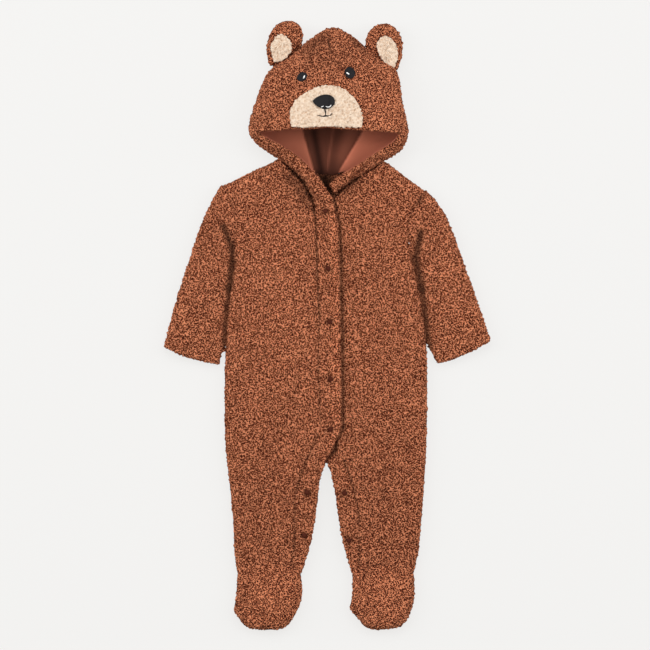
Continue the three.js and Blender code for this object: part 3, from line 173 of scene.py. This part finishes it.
# The lining's shadowed wedge between its two folds: y, then the x of each fold
WEDGE_Y = (186, 252)
WEDGE_RIGHT = (-13, -31.5)
WEDGE_LEFT = (7, 46)
WEDGE_SHADE = 0.73
FOLD_RISE = 5.0  # of the lit panels beside the wedge
FOLD_REACH = 18.0
LINING_FLOOR_Z = (20, 34)  # the folds fade out between these heights
LINING_LIGHT_Z = (26, 40)  # and the shade of the wedge between these
LINING_LINES = {  # painted shade and light: dark and light lines inside the wedge and over the panels beside it, as in SHADES
    "dark_right": (5.0, 0.72, [(-17, 252), (-6, 192)]),
    "dark_left": (7.0, 0.3, [(15, 252), (7, 204)]),
    "lit_left": (11.0, -0.8, [(30, 250), (17, 222)]),
    # a painted highlight along the seam's ridge
    "seam": (1.6, -0.7, [(8, 256), (0, 200)]),
    "bottom": (11.0, 0.85, [(-1, 190), (0, 178)]),
    "panel_left": (24.0, -0.25, [(78, 246), (54, 238)]),
    "panel_right": (18.0, -0.3, [(-72, 248), (-52, 243)]),
}

# Applique: the cut's width and length in mm, its area in square mm
PATCHES = {"nose": (30, 21, 453), "eye_right": (15, 14, 153), "eye_left": (15, 17, 197)}
FACE = ("muzzle",)
FACE_SLIDE = -2.5  # how far the face lies from its solids along Y, mm
EAR_DROP = {"ear_inner_left": 6.5, "ear_front_left": 4.0, "ear_back_left": 4.0, "ear_inner_right": 2.0}
PATCH_LIFT = 0.7  # of the applique over the pile, mm
THREAD_LIFT = 0.3  # of a strand's middle over the face, mm
THREAD_FLAT = 0.6  # height of a strand for its width
THREAD_SIDES = 8
SNAPS = [f"snap_{i}" for i in range(1, 10)]
# Lower corner of each foot on the wearer's right, which bulges that way: x, y and how far, mm
FOOT_BULGES = {"right": (-119, -371, -4.0), "left": (33, -369, -5.5)}
FOOT_BULGE = (17.0, 11.0)  # reach across and along

# Creases on the upper side: a line, its width and height (mm), high above zero or a trough below
CREASES = [
    (-96, 160, -112, 120, 9, -1.3),
    (-84, 176, -100, 128, 10, 1.0),
    (84, 172, 96, 122, 9, -1.3),
    (70, 182, 88, 132, 10, 1.0),
    (-108, 70, -84, 52, 8, -1.0),
    (-112, 44, -86, 34, 9, 0.9),
    (104, 62, 84, 46, 8, -1.0),
    (108, 30, 86, 18, 9, 0.9),
    (-118, -30, -96, -36, 10, 0.8),
    (116, -44, 94, -52, 10, 0.8),
    (-40, -160, -84, -128, 9, -1.1),
    (40, -162, 80, -132, 9, -1.1),
    (-60, -186, -112, -186, 9, 1.0),
    (56, -186, 112, -180, 9, 1.0),
    (-50, -232, -100, -246, 8, -1.0),
    (48, -238, 104, -230, 8, -1.0),
    (-56, -276, -110, -270, 9, 0.9),
    (52, -270, 104, -278, 9, 0.9),
    (-48, -314, -112, -314, 5, -1.4),
    (46, -314, 108, -314, 5, -1.4),
    (-152, 110, -136, 86, 9, -1.2),
    (-168, 74, -140, 58, 9, 1.0),
    (-182, 34, -146, 24, 9, -1.1),
    (-196, -2, -150, -8, 10, 0.9),
    (146, 112, 128, 88, 9, -1.2),
    (164, 78, 136, 60, 9, 1.0),
    (180, 32, 142, 22, 9, -1.1),
    (194, 2, 148, -6, 10, 0.9),
]
# Creases of the underside, which only rise from the surface, in the same form
UNDER_CREASES = [
    (-70, 150, -20, 128, 12, 1.5),
    (64, 142, 16, 118, 11, 1.4),
    (-92, 60, -48, 44, 10, 1.2),
    (88, 36, 42, 24, 11, 1.3),
    (-84, -54, -40, -70, 10, 1.1),
    (78, -84, 34, -96, 10, 1.2),
    (-30, -150, -88, -132, 11, 1.5),
    (32, -152, 84, -136, 11, 1.4),
    (-60, -230, -100, -240, 9, 1.1),
    (58, -246, 96, -238, 9, 1.1),
    (-160, 84, -142, 62, 9, 1.1),
    (162, 78, 144, 58, 9, 1.1),
    (-188, 14, -158, 6, 9, 1.0),
    (186, 10, 158, 2, 9, 1.0),
]
UPPER_Z = (9, 14)  # the upper side's creases fade in between these heights
LOWER_Z = (1.5, 4.0)  # and the underside's fade out between these


def waves(seed, count, lengths):
    """A smooth random field of points in mm, about -1 to 1, with the given wavelengths."""
    rng = np.random.default_rng(seed)
    way = rng.normal(size=(count, 3))
    way /= np.linalg.norm(way, axis=1)[:, None]
    k = way * (2 * math.pi / rng.uniform(*lengths, size=count))[:, None]
    phase = rng.uniform(0, 2 * math.pi, size=count)

    def field(p):
        out = np.zeros(len(p))
        for a in range(0, len(p), 20000):
            out[a : a + 20000] = np.cos(p[a : a + 20000] @ k.T + phase).sum(axis=1)
        return out / math.sqrt(2 * count)

    return field


curls = waves(3, 30, PILE_WAVE)
ridges = waves(5, 24, RIDGE_WAVE)
clumps = waves(8, 14, CLUMP_WAVE)
warps = [waves(20 + i, 10, (9.0, 16.0)) for i in range(3)]


def smoothstep(x, a, b):
    t = np.clip((x - a) / (b - a), 0, 1)
    return t * t * (3 - 2 * t)


def pile_at(p):
    """Height of the pile at points, about -1 in a gap and 1 on a curl."""
    warped = p + 1.6 * np.stack([w(p) for w in warps], axis=1)
    curl = curls(warped)
    ridge = 1 - 2.2 * np.abs(ridges(warped))
    return np.clip(0.75 * curl + 0.4 * ridge, -1.6, 1.6)


def near_line(p, x1, y1, x2, y2, wide):
    """1 on a line and near 0 beyond its width, seen from above."""
    dx, dy = x2 - x1, y2 - y1
    t = np.clip(((p[:, 0] - x1) * dx + (p[:, 1] - y1) * dy) / (dx * dx + dy * dy), 0, 1)
    off = np.hypot(p[:, 0] - x1 - dx * t, p[:, 1] - y1 - dy * t)
    return np.exp(-((off / wide) ** 2))


def creases_at(p):
    """Rise of the creases: both ways on the upper side, only up off the surface on the underside."""
    z = np.zeros(len(p))
    for *line, high in CREASES:
        z += high * near_line(p, *line)
    under = np.zeros(len(p))
    for *line, high in UNDER_CREASES:
        under += high * near_line(p, *line)
    return z * smoothstep(p[:, 2], *UPPER_Z) + under * (1 - smoothstep(p[:, 2], *LOWER_Z))


def light_at(p, shades):
    """1 in the open, less in a shaded fold and more on a lit edge."""
    light = np.ones(len(p))
    for wide, dark, line in shades.values():
        near = np.zeros(len(p))
        for start, end in zip(line, line[1:]):
            near = np.maximum(near, near_line(p, *start, *end, wide))
        light *= 1 - dark * near
    return light


def snap_shade(p):
    """Less than 1 around the snaps: painted shade where the pile parts round each cap."""
    light = np.ones(len(p))
    wide, dark = SNAP_SHADE
    for name in SNAPS:
        low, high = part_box(name)
        x, y = (low[0] + high[0]) / 2 / MM, (low[1] + high[1]) / 2 / MM
        light *= 1 - dark * near_line(p, x, y - 0.1, x, y + 0.1, wide)
    return light


def in_wedge(p):
    """1 in the lining's shadowed wedge, and the distance in mm outside its two folds."""
    right = np.interp(p[:, 1], WEDGE_Y, WEDGE_RIGHT)
    left = np.interp(p[:, 1], WEDGE_Y, WEDGE_LEFT)
    inside = smoothstep(p[:, 0], right - 0.8, right + 1.6) * (1 - smoothstep(p[:, 0], left - 1.6, left + 0.8))
    return inside, np.maximum(np.maximum(right - p[:, 0], p[:, 0] - left), 0)


def close_seam(p, tree, gap):
    """Moves the points that lie within a gap of the neighbour onto it, as its stitches hold them."""
    out = p.copy()
    for i, point in enumerate(p):
        near, _, _, far = tree.find_nearest(Vector(point), gap)
        if near is None or far < 1e-4:
            continue
        share = 1 - float(smoothstep(np.array(far), 0.65 * gap, gap))
        out[i] += (np.array(near) - point) * share * (1 + OVERLAP / far)
    return out


def smooth_copy(name, levels, crease):
    """Points in mm and triangles of a CAD node, its facets smoothed away and its rims kept."""
    mesh = NODES[name].data.copy()
    bm = bmesh.new()
    bm.from_mesh(mesh)
    bmesh.ops.remove_doubles(bm, verts=bm.verts, dist=2e-6)
    bmesh.ops.join_triangles(
        bm, faces=bm.faces, angle_face_threshold=math.radians(40), angle_shape_threshold=math.radians(70)
    )
    layer = bm.edges.layers.float.get("crease_edge") or bm.edges.layers.float.new("crease_edge")
    for e in bm.edges:
        if len(e.link_faces) == 2 and e.calc_face_angle() > math.radians(50):
            e[layer] = crease
    bm.to_mesh(mesh)
    bm.free()
    ob = bpy.data.objects.new(name + "_base", mesh)
    bpy.context.scene.collection.objects.link(ob)
    mod = ob.modifiers.new("smooth", "SUBSURF")
    mod.levels = mod.render_levels = levels
    dg = bpy.context.evaluated_depsgraph_get()
    made = ob.evaluated_get(dg).to_mesh()
    made.calc_loop_triangles()
    points = np.empty(len(made.vertices) * 3)
    made.vertices.foreach_get("co", points)
    faces = np.empty(len(made.loop_triangles) * 3, dtype=np.int32)
    made.loop_triangles.foreach_get("vertices", faces)
    ob.evaluated_get(dg).to_mesh_clear()
    bpy.data.objects.remove(ob)
    return points.reshape(-1, 3) / MM, faces.reshape(-1, 3)


def face_normals(v, f):
    n = np.cross(v[f[:, 1]] - v[f[:, 0]], v[f[:, 2]] - v[f[:, 0]])
    return n / np.maximum(np.linalg.norm(n, axis=1), 1e-12)[:, None]


def point_normals(v, f):
    n = np.cross(v[f[:, 1]] - v[f[:, 0]], v[f[:, 2]] - v[f[:, 0]])
    out = np.zeros_like(v)
    for c in range(3):
        np.add.at(out, f[:, c], n)
    return out / np.maximum(np.linalg.norm(out, axis=1), 1e-12)[:, None]


def refine(v, f, fine, longest, above=0.0):
    """Splits the edges of the fine triangles above a height until none is longer than asked."""
    for _ in range(SPLIT_PASSES):
        edges = np.sort(np.stack([f, np.roll(f, -1, axis=1)], axis=2).reshape(-1, 2), axis=1)
        unique, inverse = np.unique(edges, axis=0, return_inverse=True)
        inverse = inverse.reshape(-1, 3)
        wanted = np.zeros(len(unique), bool)
        split = fine & (v[f].mean(axis=1)[:, 2] >= above)
        wanted[inverse[split].ravel()] = True
        wanted &= np.linalg.norm(v[unique[:, 0]] - v[unique[:, 1]], axis=1) > longest
        if not wanted.any():
            break
        middle = np.full(len(unique), -1)
        middle[wanted] = len(v) + np.arange(wanted.sum())
        v = np.vstack([v, (v[unique[wanted, 0]] + v[unique[wanted, 1]]) / 2])
        mid = middle[inverse]
        count = (mid >= 0).sum(axis=1)
        out, keep = [f[count == 0]], [fine[count == 0]]
        for turn in range(3):
            g, m = np.roll(f, -turn, axis=1), np.roll(mid, -turn, axis=1)
            one = (count == 1) & (m[:, 0] >= 0)
            a, b, c = g[one].T
            p = m[one, 0]
            out += [np.stack([a, p, c], 1), np.stack([p, b, c], 1)]
            keep += [fine[one]] * 2
            two = (count == 2) & (m[:, 2] < 0)
            a, b, c = g[two].T
            p, q = m[two, 0], m[two, 1]
            out += [np.stack([p, b, q], 1), np.stack([a, p, q], 1), np.stack([a, q, c], 1)]
            keep += [fine[two]] * 3
        three = count == 3
        a, b, c = f[three].T
        p, q, r = mid[three].T
        out += [np.stack(s, 1) for s in ((a, p, r), (p, b, q), (r, q, c), (p, q, r))]
        keep += [fine[three]] * 4
        f, fine = np.vstack(out), np.concatenate(keep)
    return v, f, fine


def outer_faces(v, f, tree):
    """True for the triangles that face out of the garment, and not into it or onto another piece."""
    centres, normals = v[f].mean(axis=1), face_normals(v, f)
    out = np.ones(len(f), bool)
    for i, (c, n) in enumerate(zip(centres, normals)):
        way = Vector(n)
        hit = tree.ray_cast(Vector(c) + way * RAY_START, way, RAY_REACH)
        if hit[0] is None:
            continue
        out[i] = not (hit[3] < TOUCHING or (abs(n[2]) > 0.6 and hit[3] < INSIDE))
    return out


def make_object(name, v, f, attributes=()):
    mesh = bpy.data.meshes.new(name)
    mesh.vertices.add(len(v))
    mesh.vertices.foreach_set("co", (v * MM).astype(np.float32).ravel())
    mesh.loops.add(len(f) * 3)
    mesh.loops.foreach_set("vertex_index", f.astype(np.int32).ravel())
    mesh.polygons.add(len(f))
    mesh.polygons.foreach_set("loop_start", np.arange(0, len(f) * 3, 3, dtype=np.int32))
    mesh.polygons.foreach_set("loop_total", np.full(len(f), 3, dtype=np.int32))
    mesh.update()
    mesh.polygons.foreach_set("use_smooth", np.ones(len(f), bool))
    for key, values in attributes:
        layer = mesh.attributes.new(key, "FLOAT", "POINT")
        layer.data.foreach_set("value", values.astype(np.float32))
    ob = bpy.data.objects.new(name, mesh)
    bpy.context.scene.collection.objects.link(ob)
    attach(ob, "root")
    return ob


def new_material(name):
    m = bpy.data.materials.new(name)
    m.use_nodes = True
    return m, m.node_tree.nodes, m.node_tree.links


def linear(*srgb):
    return tuple(((c / 255 + 0.055) / 1.055) ** 2.4 for c in srgb) + (1.0,)


def fleece_material(name, shaded_pit, mid, lit_tip, sheen, size=CURL, contrast=2.3, relief=1.0):
    """Curly pile: painted shade in dark pits, and painted highlight on the light curls that wind between
    them.
    """
    m, nodes, links = new_material(name)
    bsdf = nodes["Principled BSDF"]

    def math_node(kind, first, second, third=None):
        node = nodes.new("ShaderNodeMath")
        node.operation = kind
        for i, value in enumerate((first, second, third)):
            if isinstance(value, (int, float)):
                node.inputs[i].default_value = value
            elif value is not None:
                links.new(value, node.inputs[i])
        return node.outputs[0]

    place = nodes.new("ShaderNodeTexCoord")
    bend = nodes.new("ShaderNodeTexNoise")
    bend.inputs["Scale"].default_value = 420
    bend.inputs["Detail"].default_value = 2
    links.new(place.outputs["Object"], bend.inputs["Vector"])
    shift = nodes.new("ShaderNodeVectorMath")
    shift.operation = "MULTIPLY_ADD"
    links.new(bend.outputs["Color"], shift.inputs[0])
    shift.inputs[1].default_value = (0.0017, 0.0017, 0.0017)
    links.new(place.outputs["Object"], shift.inputs[2])
    cells = nodes.new("ShaderNodeTexVoronoi")
    cells.inputs["Scale"].default_value = 1000 / size
    links.new(shift.outputs[0], cells.inputs["Vector"])
    # the cells' distance gives the bump and the colour: painted shade in the pits, painted highlight on the
    # curls
    curl = math_node("MULTIPLY_ADD", cells.outputs["Distance"], contrast, 0.5 - 0.52 * contrast)
    split = nodes.new("ShaderNodeSeparateColor")
    links.new(cells.outputs["Color"], split.inputs["Color"])
    curl = math_node("MULTIPLY_ADD", split.outputs["Red"], 0.12, curl)
    # the pile attribute carries painted shade and highlight from the pile's height, with random mottling
    pile = nodes.new("ShaderNodeAttribute")
    pile.attribute_name = "pile"
    pile_shade_and_mottle = math_node("MULTIPLY_ADD", pile.outputs["Fac"], 0.24, curl)
    pile_shade_and_mottle = math_node("ADD", pile_shade_and_mottle, -0.18)
    ramp = nodes.new("ShaderNodeValToRGB")
    ramp.color_ramp.elements[0].position = 0.0
    ramp.color_ramp.elements[0].color = shaded_pit
    ramp.color_ramp.elements[1].position = 1.0
    ramp.color_ramp.elements[1].color = lit_tip
    centre = ramp.color_ramp.elements.new(0.42)
    centre.color = mid
    links.new(pile_shade_and_mottle, ramp.inputs["Fac"])
    shade = nodes.new("ShaderNodeAttribute")
    shade.attribute_name = "light"
    darker = nodes.new("ShaderNodeMix")
    darker.data_type = "RGBA"
    darker.blend_type = "MULTIPLY"
    darker.inputs["Factor"].default_value = 1.0
    links.new(ramp.outputs["Color"], darker.inputs["A"])
    links.new(shade.outputs["Fac"], darker.inputs["B"])
    links.new(darker.outputs["Result"], bsdf.inputs["Base Color"])
    bump = nodes.new("ShaderNodeBump")
    bump.inputs["Strength"].default_value = 0.8
    bump.inputs["Distance"].default_value = 0.0011 * relief
    links.new(curl, bump.inputs["Height"])
    links.new(bump.outputs["Normal"], bsdf.inputs["Normal"])
    bsdf.inputs["Roughness"].default_value = 1.0
    bsdf.inputs["Specular IOR Level"].default_value = 0.1
    bsdf.inputs["Sheen Weight"].default_value = sheen
    bsdf.inputs["Sheen Roughness"].default_value = 0.5
    bsdf.inputs["Sheen Tint"].default_value = lit_tip
    return m


def plain_material(name, color, roughness, scale, strength, distance, specular=0.3, sheen=0.0, lit=False):
    """A smooth material with a fine grain in its bump, darkened by the light attribute if lit is set."""
    m, nodes, links = new_material(name)
    bsdf = nodes["Principled BSDF"]
    if lit:
        shade = nodes.new("ShaderNodeAttribute")
        shade.attribute_name = "light"
        darker = nodes.new("ShaderNodeMix")
        darker.data_type = "RGBA"
        darker.blend_type = "MULTIPLY"
        darker.inputs["Factor"].default_value = 1.0
        darker.inputs["A"].default_value = color
        links.new(shade.outputs["Fac"], darker.inputs["B"])
        links.new(darker.outputs["Result"], bsdf.inputs["Base Color"])
    place = nodes.new("ShaderNodeTexCoord")
    grain = nodes.new("ShaderNodeTexNoise")
    grain.inputs["Scale"].default_value = scale
    grain.inputs["Detail"].default_value = 3
    links.new(place.outputs["Object"], grain.inputs["Vector"])
    bump = nodes.new("ShaderNodeBump")
    bump.inputs["Strength"].default_value = strength
    bump.inputs["Distance"].default_value = distance
    links.new(grain.outputs["Fac"], bump.inputs["Height"])
    links.new(bump.outputs["Normal"], bsdf.inputs["Normal"])
    bsdf.inputs["Base Color"].default_value = color
    bsdf.inputs["Roughness"].default_value = roughness
    bsdf.inputs["Specular IOR Level"].default_value = specular
    bsdf.inputs["Sheen Weight"].default_value = sheen
    return m


brown = fleece_material(
    "brown_fleece", linear(56, 11, 2), linear(152, 70, 39), linear(238, 151, 109), 0.2, CURL, 5.0, 1.3
)
cream = fleece_material(
    "cream_fleece", linear(190, 160, 134), linear(213, 189, 166), linear(226, 208, 188), 0.1, 3.0, 1.1, 0.45
)
jersey = plain_material("jersey", linear(164, 95, 73), 0.9, 900, 0.4, 0.0004, specular=0.1, lit=True)
thread = plain_material("dark_thread", linear(16, 14, 18), 0.6, 700, 0.6, 0.0005, specular=0.2)
white = plain_material("white_thread", linear(240, 238, 235), 0.6, 700, 0.3, 0.0003)
enamel = plain_material("snap_enamel", linear(74, 30, 16), 0.6, 300, 0.1, 0.0002, specular=0.1)

# Smooth copies of every cloth piece, one tree of them all, and one of each piece's neighbours
bases = {name: smooth_copy(name, 2, 0.7) for name in PIECES}
bases.update({name: smooth_copy(name, 2, 0.6) for name in LININGS})


def joined_tree(names):
    points, faces, count = [], [], 0
    for v, f in (bases[name] for name in names):
        points.append(v)
        faces.append(f + count)
        count += len(v)
    return BVHTree.FromPolygons(np.vstack(points).tolist(), np.vstack(faces).tolist())


def close_seams(v, name):
    for neighbours, gap in SEAMS[name]:
        v = close_seam(v, joined_tree(neighbours), gap)
    return v


def slide(v):
    """Moves a piece of the face along the hood, up or down with its surface."""
    out = v.copy()
    for i, (x, y, z) in enumerate(v):
        before = hood.ray_cast(Vector((x, y, RAY_TOP)), Vector((0, 0, -1)))[0]
        after = hood.ray_cast(Vector((x, y + FACE_SLIDE, RAY_TOP)), Vector((0, 0, -1)))[0]
        if before is not None and after is not None and abs(after.z - before.z) < 2:
            out[i, 2] += after.z - before.z
    out[:, 1] += FACE_SLIDE
    return out


def bulge(v, side):
    """Pushes out the corner of a foot, its upper and its sole alike."""
    x, y, out = FOOT_BULGES[side]
    across, along = FOOT_BULGE
    near = np.exp(-(((v[:, 0] - x) / across) ** 2) - ((v[:, 1] - y) / along) ** 2)
    v = v.copy()
    v[:, 0] += out * near
    return v


everything = joined_tree(bases)
hood = joined_tree(("hood_right", "hood_left"))
solids = {}
for name, (slot, wide, long, cut, held) in PIECES.items():
    v, f = bases[name]
    fine = outer_faces(v, f, everything)
    v, f, fine = refine(v, f, fine, UNDER_FINE)
    v, f, fine = refine(v, f, fine, FINE, UNDER_Z)
    if name in FACE:
        v = slide(v)
    if name in EAR_DROP:
        below = 1 - smoothstep(v[:, 1], v[:, 1].min(), v[:, 1].mean())
        v[:, 1] -= EAR_DROP[name] * below
    if name.startswith("foot_"):
        v = bulge(v, name.rsplit("_", 1)[1])
    rise = creases_at(v)
    weight = np.zeros(len(v))
    total = np.zeros(len(v))
    for c in range(3):
        np.add.at(weight, f[:, c], fine)
        np.add.at(total, f[:, c], 1)
    weight = weight / np.maximum(total, 1)
    normals = point_normals(v, f)
    pile = pile_at(v)
    stand = smoothstep(v[:, 2], *FLAT_Z)
    lift = PILE_HEIGHT * (pile - 0.2) + CLUMP_HEIGHT * clumps(v)
    pits = FLAT_PIT * (1 - stand) * weight * np.clip(0.6 - pile, 0, 1.4)
    light = light_at(v, SHADES | LIT) * snap_shade(v)
    if name == "back":
        light = np.where(normals[:, 2] > 0.3, light_at(v, NECK_SHADE), 1.0)
    v = v + normals * (lift * weight * stand)[:, None]
    v[:, 2] = np.maximum(v[:, 2] + rise + pits, 0.02)
    if name in SEAMS:
        v = close_seams(v, name)
    # Colour of the pile: painted shade where it sinks and painted highlight where it rises, with random
    # mottling from the clumps
    pile_shade_and_mottle = 0.5 + 0.42 * pile * weight + 0.2 * clumps(v)
    ob = make_object(name + "_cloth", v, f, [("pile", pile_shade_and_mottle), ("light", light)])
    if name in FACE:
        solids[name] = (v.tolist(), f.tolist())
    ob.data.materials.append(cream if slot == PALE else brown)
    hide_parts(name)

for name, (wide, long, cut, held) in LININGS.items():
    v, f = bases[name]
    v, f, _ = refine(v, f, np.ones(len(f), bool), LINING_FINE)
    floor_side = 1 - smoothstep(v[:, 2], *LINING_FLOOR_Z)
    wedge, outside = in_wedge(v)
    light = (1 - WEDGE_SHADE * wedge) * light_at(v, LINING_LINES)
    light = 1 + (light - 1) * (1 - smoothstep(v[:, 2], *LINING_LIGHT_Z))
    v[:, 2] += FOLD_RISE * (1 - wedge) * np.exp(-((outside / FOLD_REACH) ** 2)) * floor_side
    v = close_seams(v, name)
    ob = make_object(name + "_cloth", v, f, [("light", light)])
    ob.data.materials.append(jersey)
    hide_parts(name)

for name in PATCHES:
    v, f = smooth_copy(name, 2, 0.5)
    v = slide(v)
    v[:, 2] += PATCH_LIFT
    solids[name] = (v.tolist(), f.tolist())
    ob = make_object(name + "_patch", v, f)
    ob.data.materials.append(thread)
    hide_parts(name)
    wide, long, cut = PATCHES[name]
for name in SNAPS:
    v, f = smooth_copy(name, 2, 0.3)
    middle = (v.min(axis=0) + v.max(axis=0)) / 2
    v[:, :2] = middle[:2] + (v[:, :2] - middle[:2]) * CAP_SHARE
    ob = make_object(name + "_cap", v, f)
    ob.data.materials.append(enamel)
    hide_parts(name)

# Embroidery on the face
surface = {name: BVHTree.FromPolygons(*mesh) for name, mesh in solids.items()}


def on_top(x, y):
    """Height in mm of the face's surface over a point."""
    hits = [t.ray_cast(Vector((x, y, RAY_TOP)), Vector((0, 0, -1)))[0] for t in surface.values()]
    return max(h.z for h in hits if h is not None)


def strand(name, points, radius, material):
    """A flat-lying strand of thread along points seen from above, each with its share of the radius."""
    v, f, sides = [], [], THREAD_SIDES
    points = [(x, y + FACE_SLIDE, share) for x, y, share in points]
    heights = [on_top(x, y) for x, y, _ in points]
    heights = np.convolve(np.pad(heights, 1, mode="edge"), [0.25, 0.5, 0.25], mode="valid")
    for i, (x, y, share) in enumerate(points):
        x1, y1, _ = points[max(i - 1, 0)]
        x2, y2, _ = points[min(i + 1, len(points) - 1)]
        long = math.hypot(x2 - x1, y2 - y1)
        across = ((y1 - y2) / long, (x2 - x1) / long)
        for j in range(sides):
            a = 2 * math.pi * j / sides
            out, up = math.cos(a) * radius * share, math.sin(a) * radius * THREAD_FLAT * share
            v.append((x + across[0] * out, y + across[1] * out, heights[i] + THREAD_LIFT + up))
    for i in range(len(points) - 1):
        for j in range(sides):
            a, b = i * sides + j, i * sides + (j + 1) % sides
            f += [(a, b, b + sides), (a, b + sides, a + sides)]
    last = (len(points) - 1) * sides
    for j in range(1, sides - 1):
        f += [(0, j + 1, j), (last, last + j, last + j + 1)]
    ob = make_object(name, np.array(v), np.array(f))
    ob.data.materials.append(material)
    return ob


MOUTH = {
    "mouth_stub": [(-3.2, 283.5, 0.8), (-2.2, 280, 0.8), (-1.6, 277.5, 0.8), (-1.4, 274.6, 1.0)],
    "mouth_right": [
        (-1.4, 274.4, 1.1), (-4, 273.6, 1.0), (-7, 273.6, 0.8), (-10, 274.2, 0.6), (-13.4, 275.2, 0.3),
    ],
    "mouth_left": [
        (-1.4, 274.4, 1.1), (1, 273.8, 1.0), (3.4, 274.4, 0.8), (5.4, 275.8, 0.7), (6.8, 277.6, 0.4),
    ],
}
GLINTS = {
    "eye_right_glint": [(-30.6, 322.6, 0.7), (-30.0, 324.0, 1.0), (-29.4, 325.6, 1.0), (-29.0, 326.8, 0.6)],
    "eye_left_glint": [(25.2, 330.4, 0.8), (26.4, 329.8, 1.2), (27.8, 328.8, 1.2), (28.8, 328.0, 0.7)],
    "nose_glint_right": [(-7.6, 285.0, 0.5), (-6.2, 286.0, 0.7), (-4.6, 286.8, 0.6)],
    "nose_glint_left": [
        (-1.6, 286.4, 0.4), (0.6, 285.4, 0.7), (2.8, 285.4, 0.8), (4.6, 286.6, 0.7), (5.4, 288.4, 0.4),
    ],
}
for name, points in MOUTH.items():
    strand(name, points, 0.95, thread)
for name, points in GLINTS.items():
    strand(name, points, 0.8, white)

# Floor
bpy.ops.mesh.primitive_plane_add(size=12.0, location=(0, 0, -0.0002))
floor = bpy.context.object
floor.name = "floor"
floor_material, nodes, links = new_material("lit_paper")
paper = nodes["Principled BSDF"]
paper.inputs["Base Color"].default_value = (0.11, 0.11, 0.11, 1.0)
paper.inputs["Roughness"].default_value = 0.9
paper.inputs["Specular IOR Level"].default_value = 0.0
paper.inputs["Emission Color"].default_value = linear(245, 244, 242)
paper.inputs["Emission Strength"].default_value = 0.84
floor.data.materials.append(floor_material)


def area_light(name, where, aim, size, power):
    data = bpy.data.lights.new(name, "AREA")
    data.shape = "RECTANGLE"
    data.size, data.size_y = size
    data.energy = power
    ob = bpy.data.objects.new(name, data)
    bpy.context.scene.collection.objects.link(ob)
    ob.location = where
    ob.rotation_euler = (Vector(aim) - Vector(where)).to_track_quat("-Z", "Y").to_euler()
    return ob


area_light("left", (-2.2, 0.6, 1.7), (0, 0, 0), (1.6, 2.4), 44)
area_light("right", (2.2, 0.4, 1.7), (0, 0, 0), (1.6, 2.4), 38)
area_light("top", (0, 1.6, 2.6), (0, 0, 0), (2.4, 1.6), 40)
world = bpy.data.worlds.new("room")
bpy.context.scene.world = world
world.use_nodes = True
world.node_tree.nodes["Background"].inputs["Color"].default_value = (1, 1, 1, 1)
world.node_tree.nodes["Background"].inputs["Strength"].default_value = 0.4
bpy.context.scene.view_settings.view_transform = "Standard"

camera = bpy.data.cameras.new("camera")
camera.sensor_width = 36.0
camera.lens = 36.0 * (CAMERA_Z - GARMENT_Z) / SPAN
camera.clip_end = 20.0
eye = bpy.data.objects.new("camera", camera)
bpy.context.scene.collection.objects.link(eye)
eye.location = (CENTRE[0] * MM, CENTRE[1] * MM, CAMERA_Z * MM)
bpy.context.scene.camera = eye
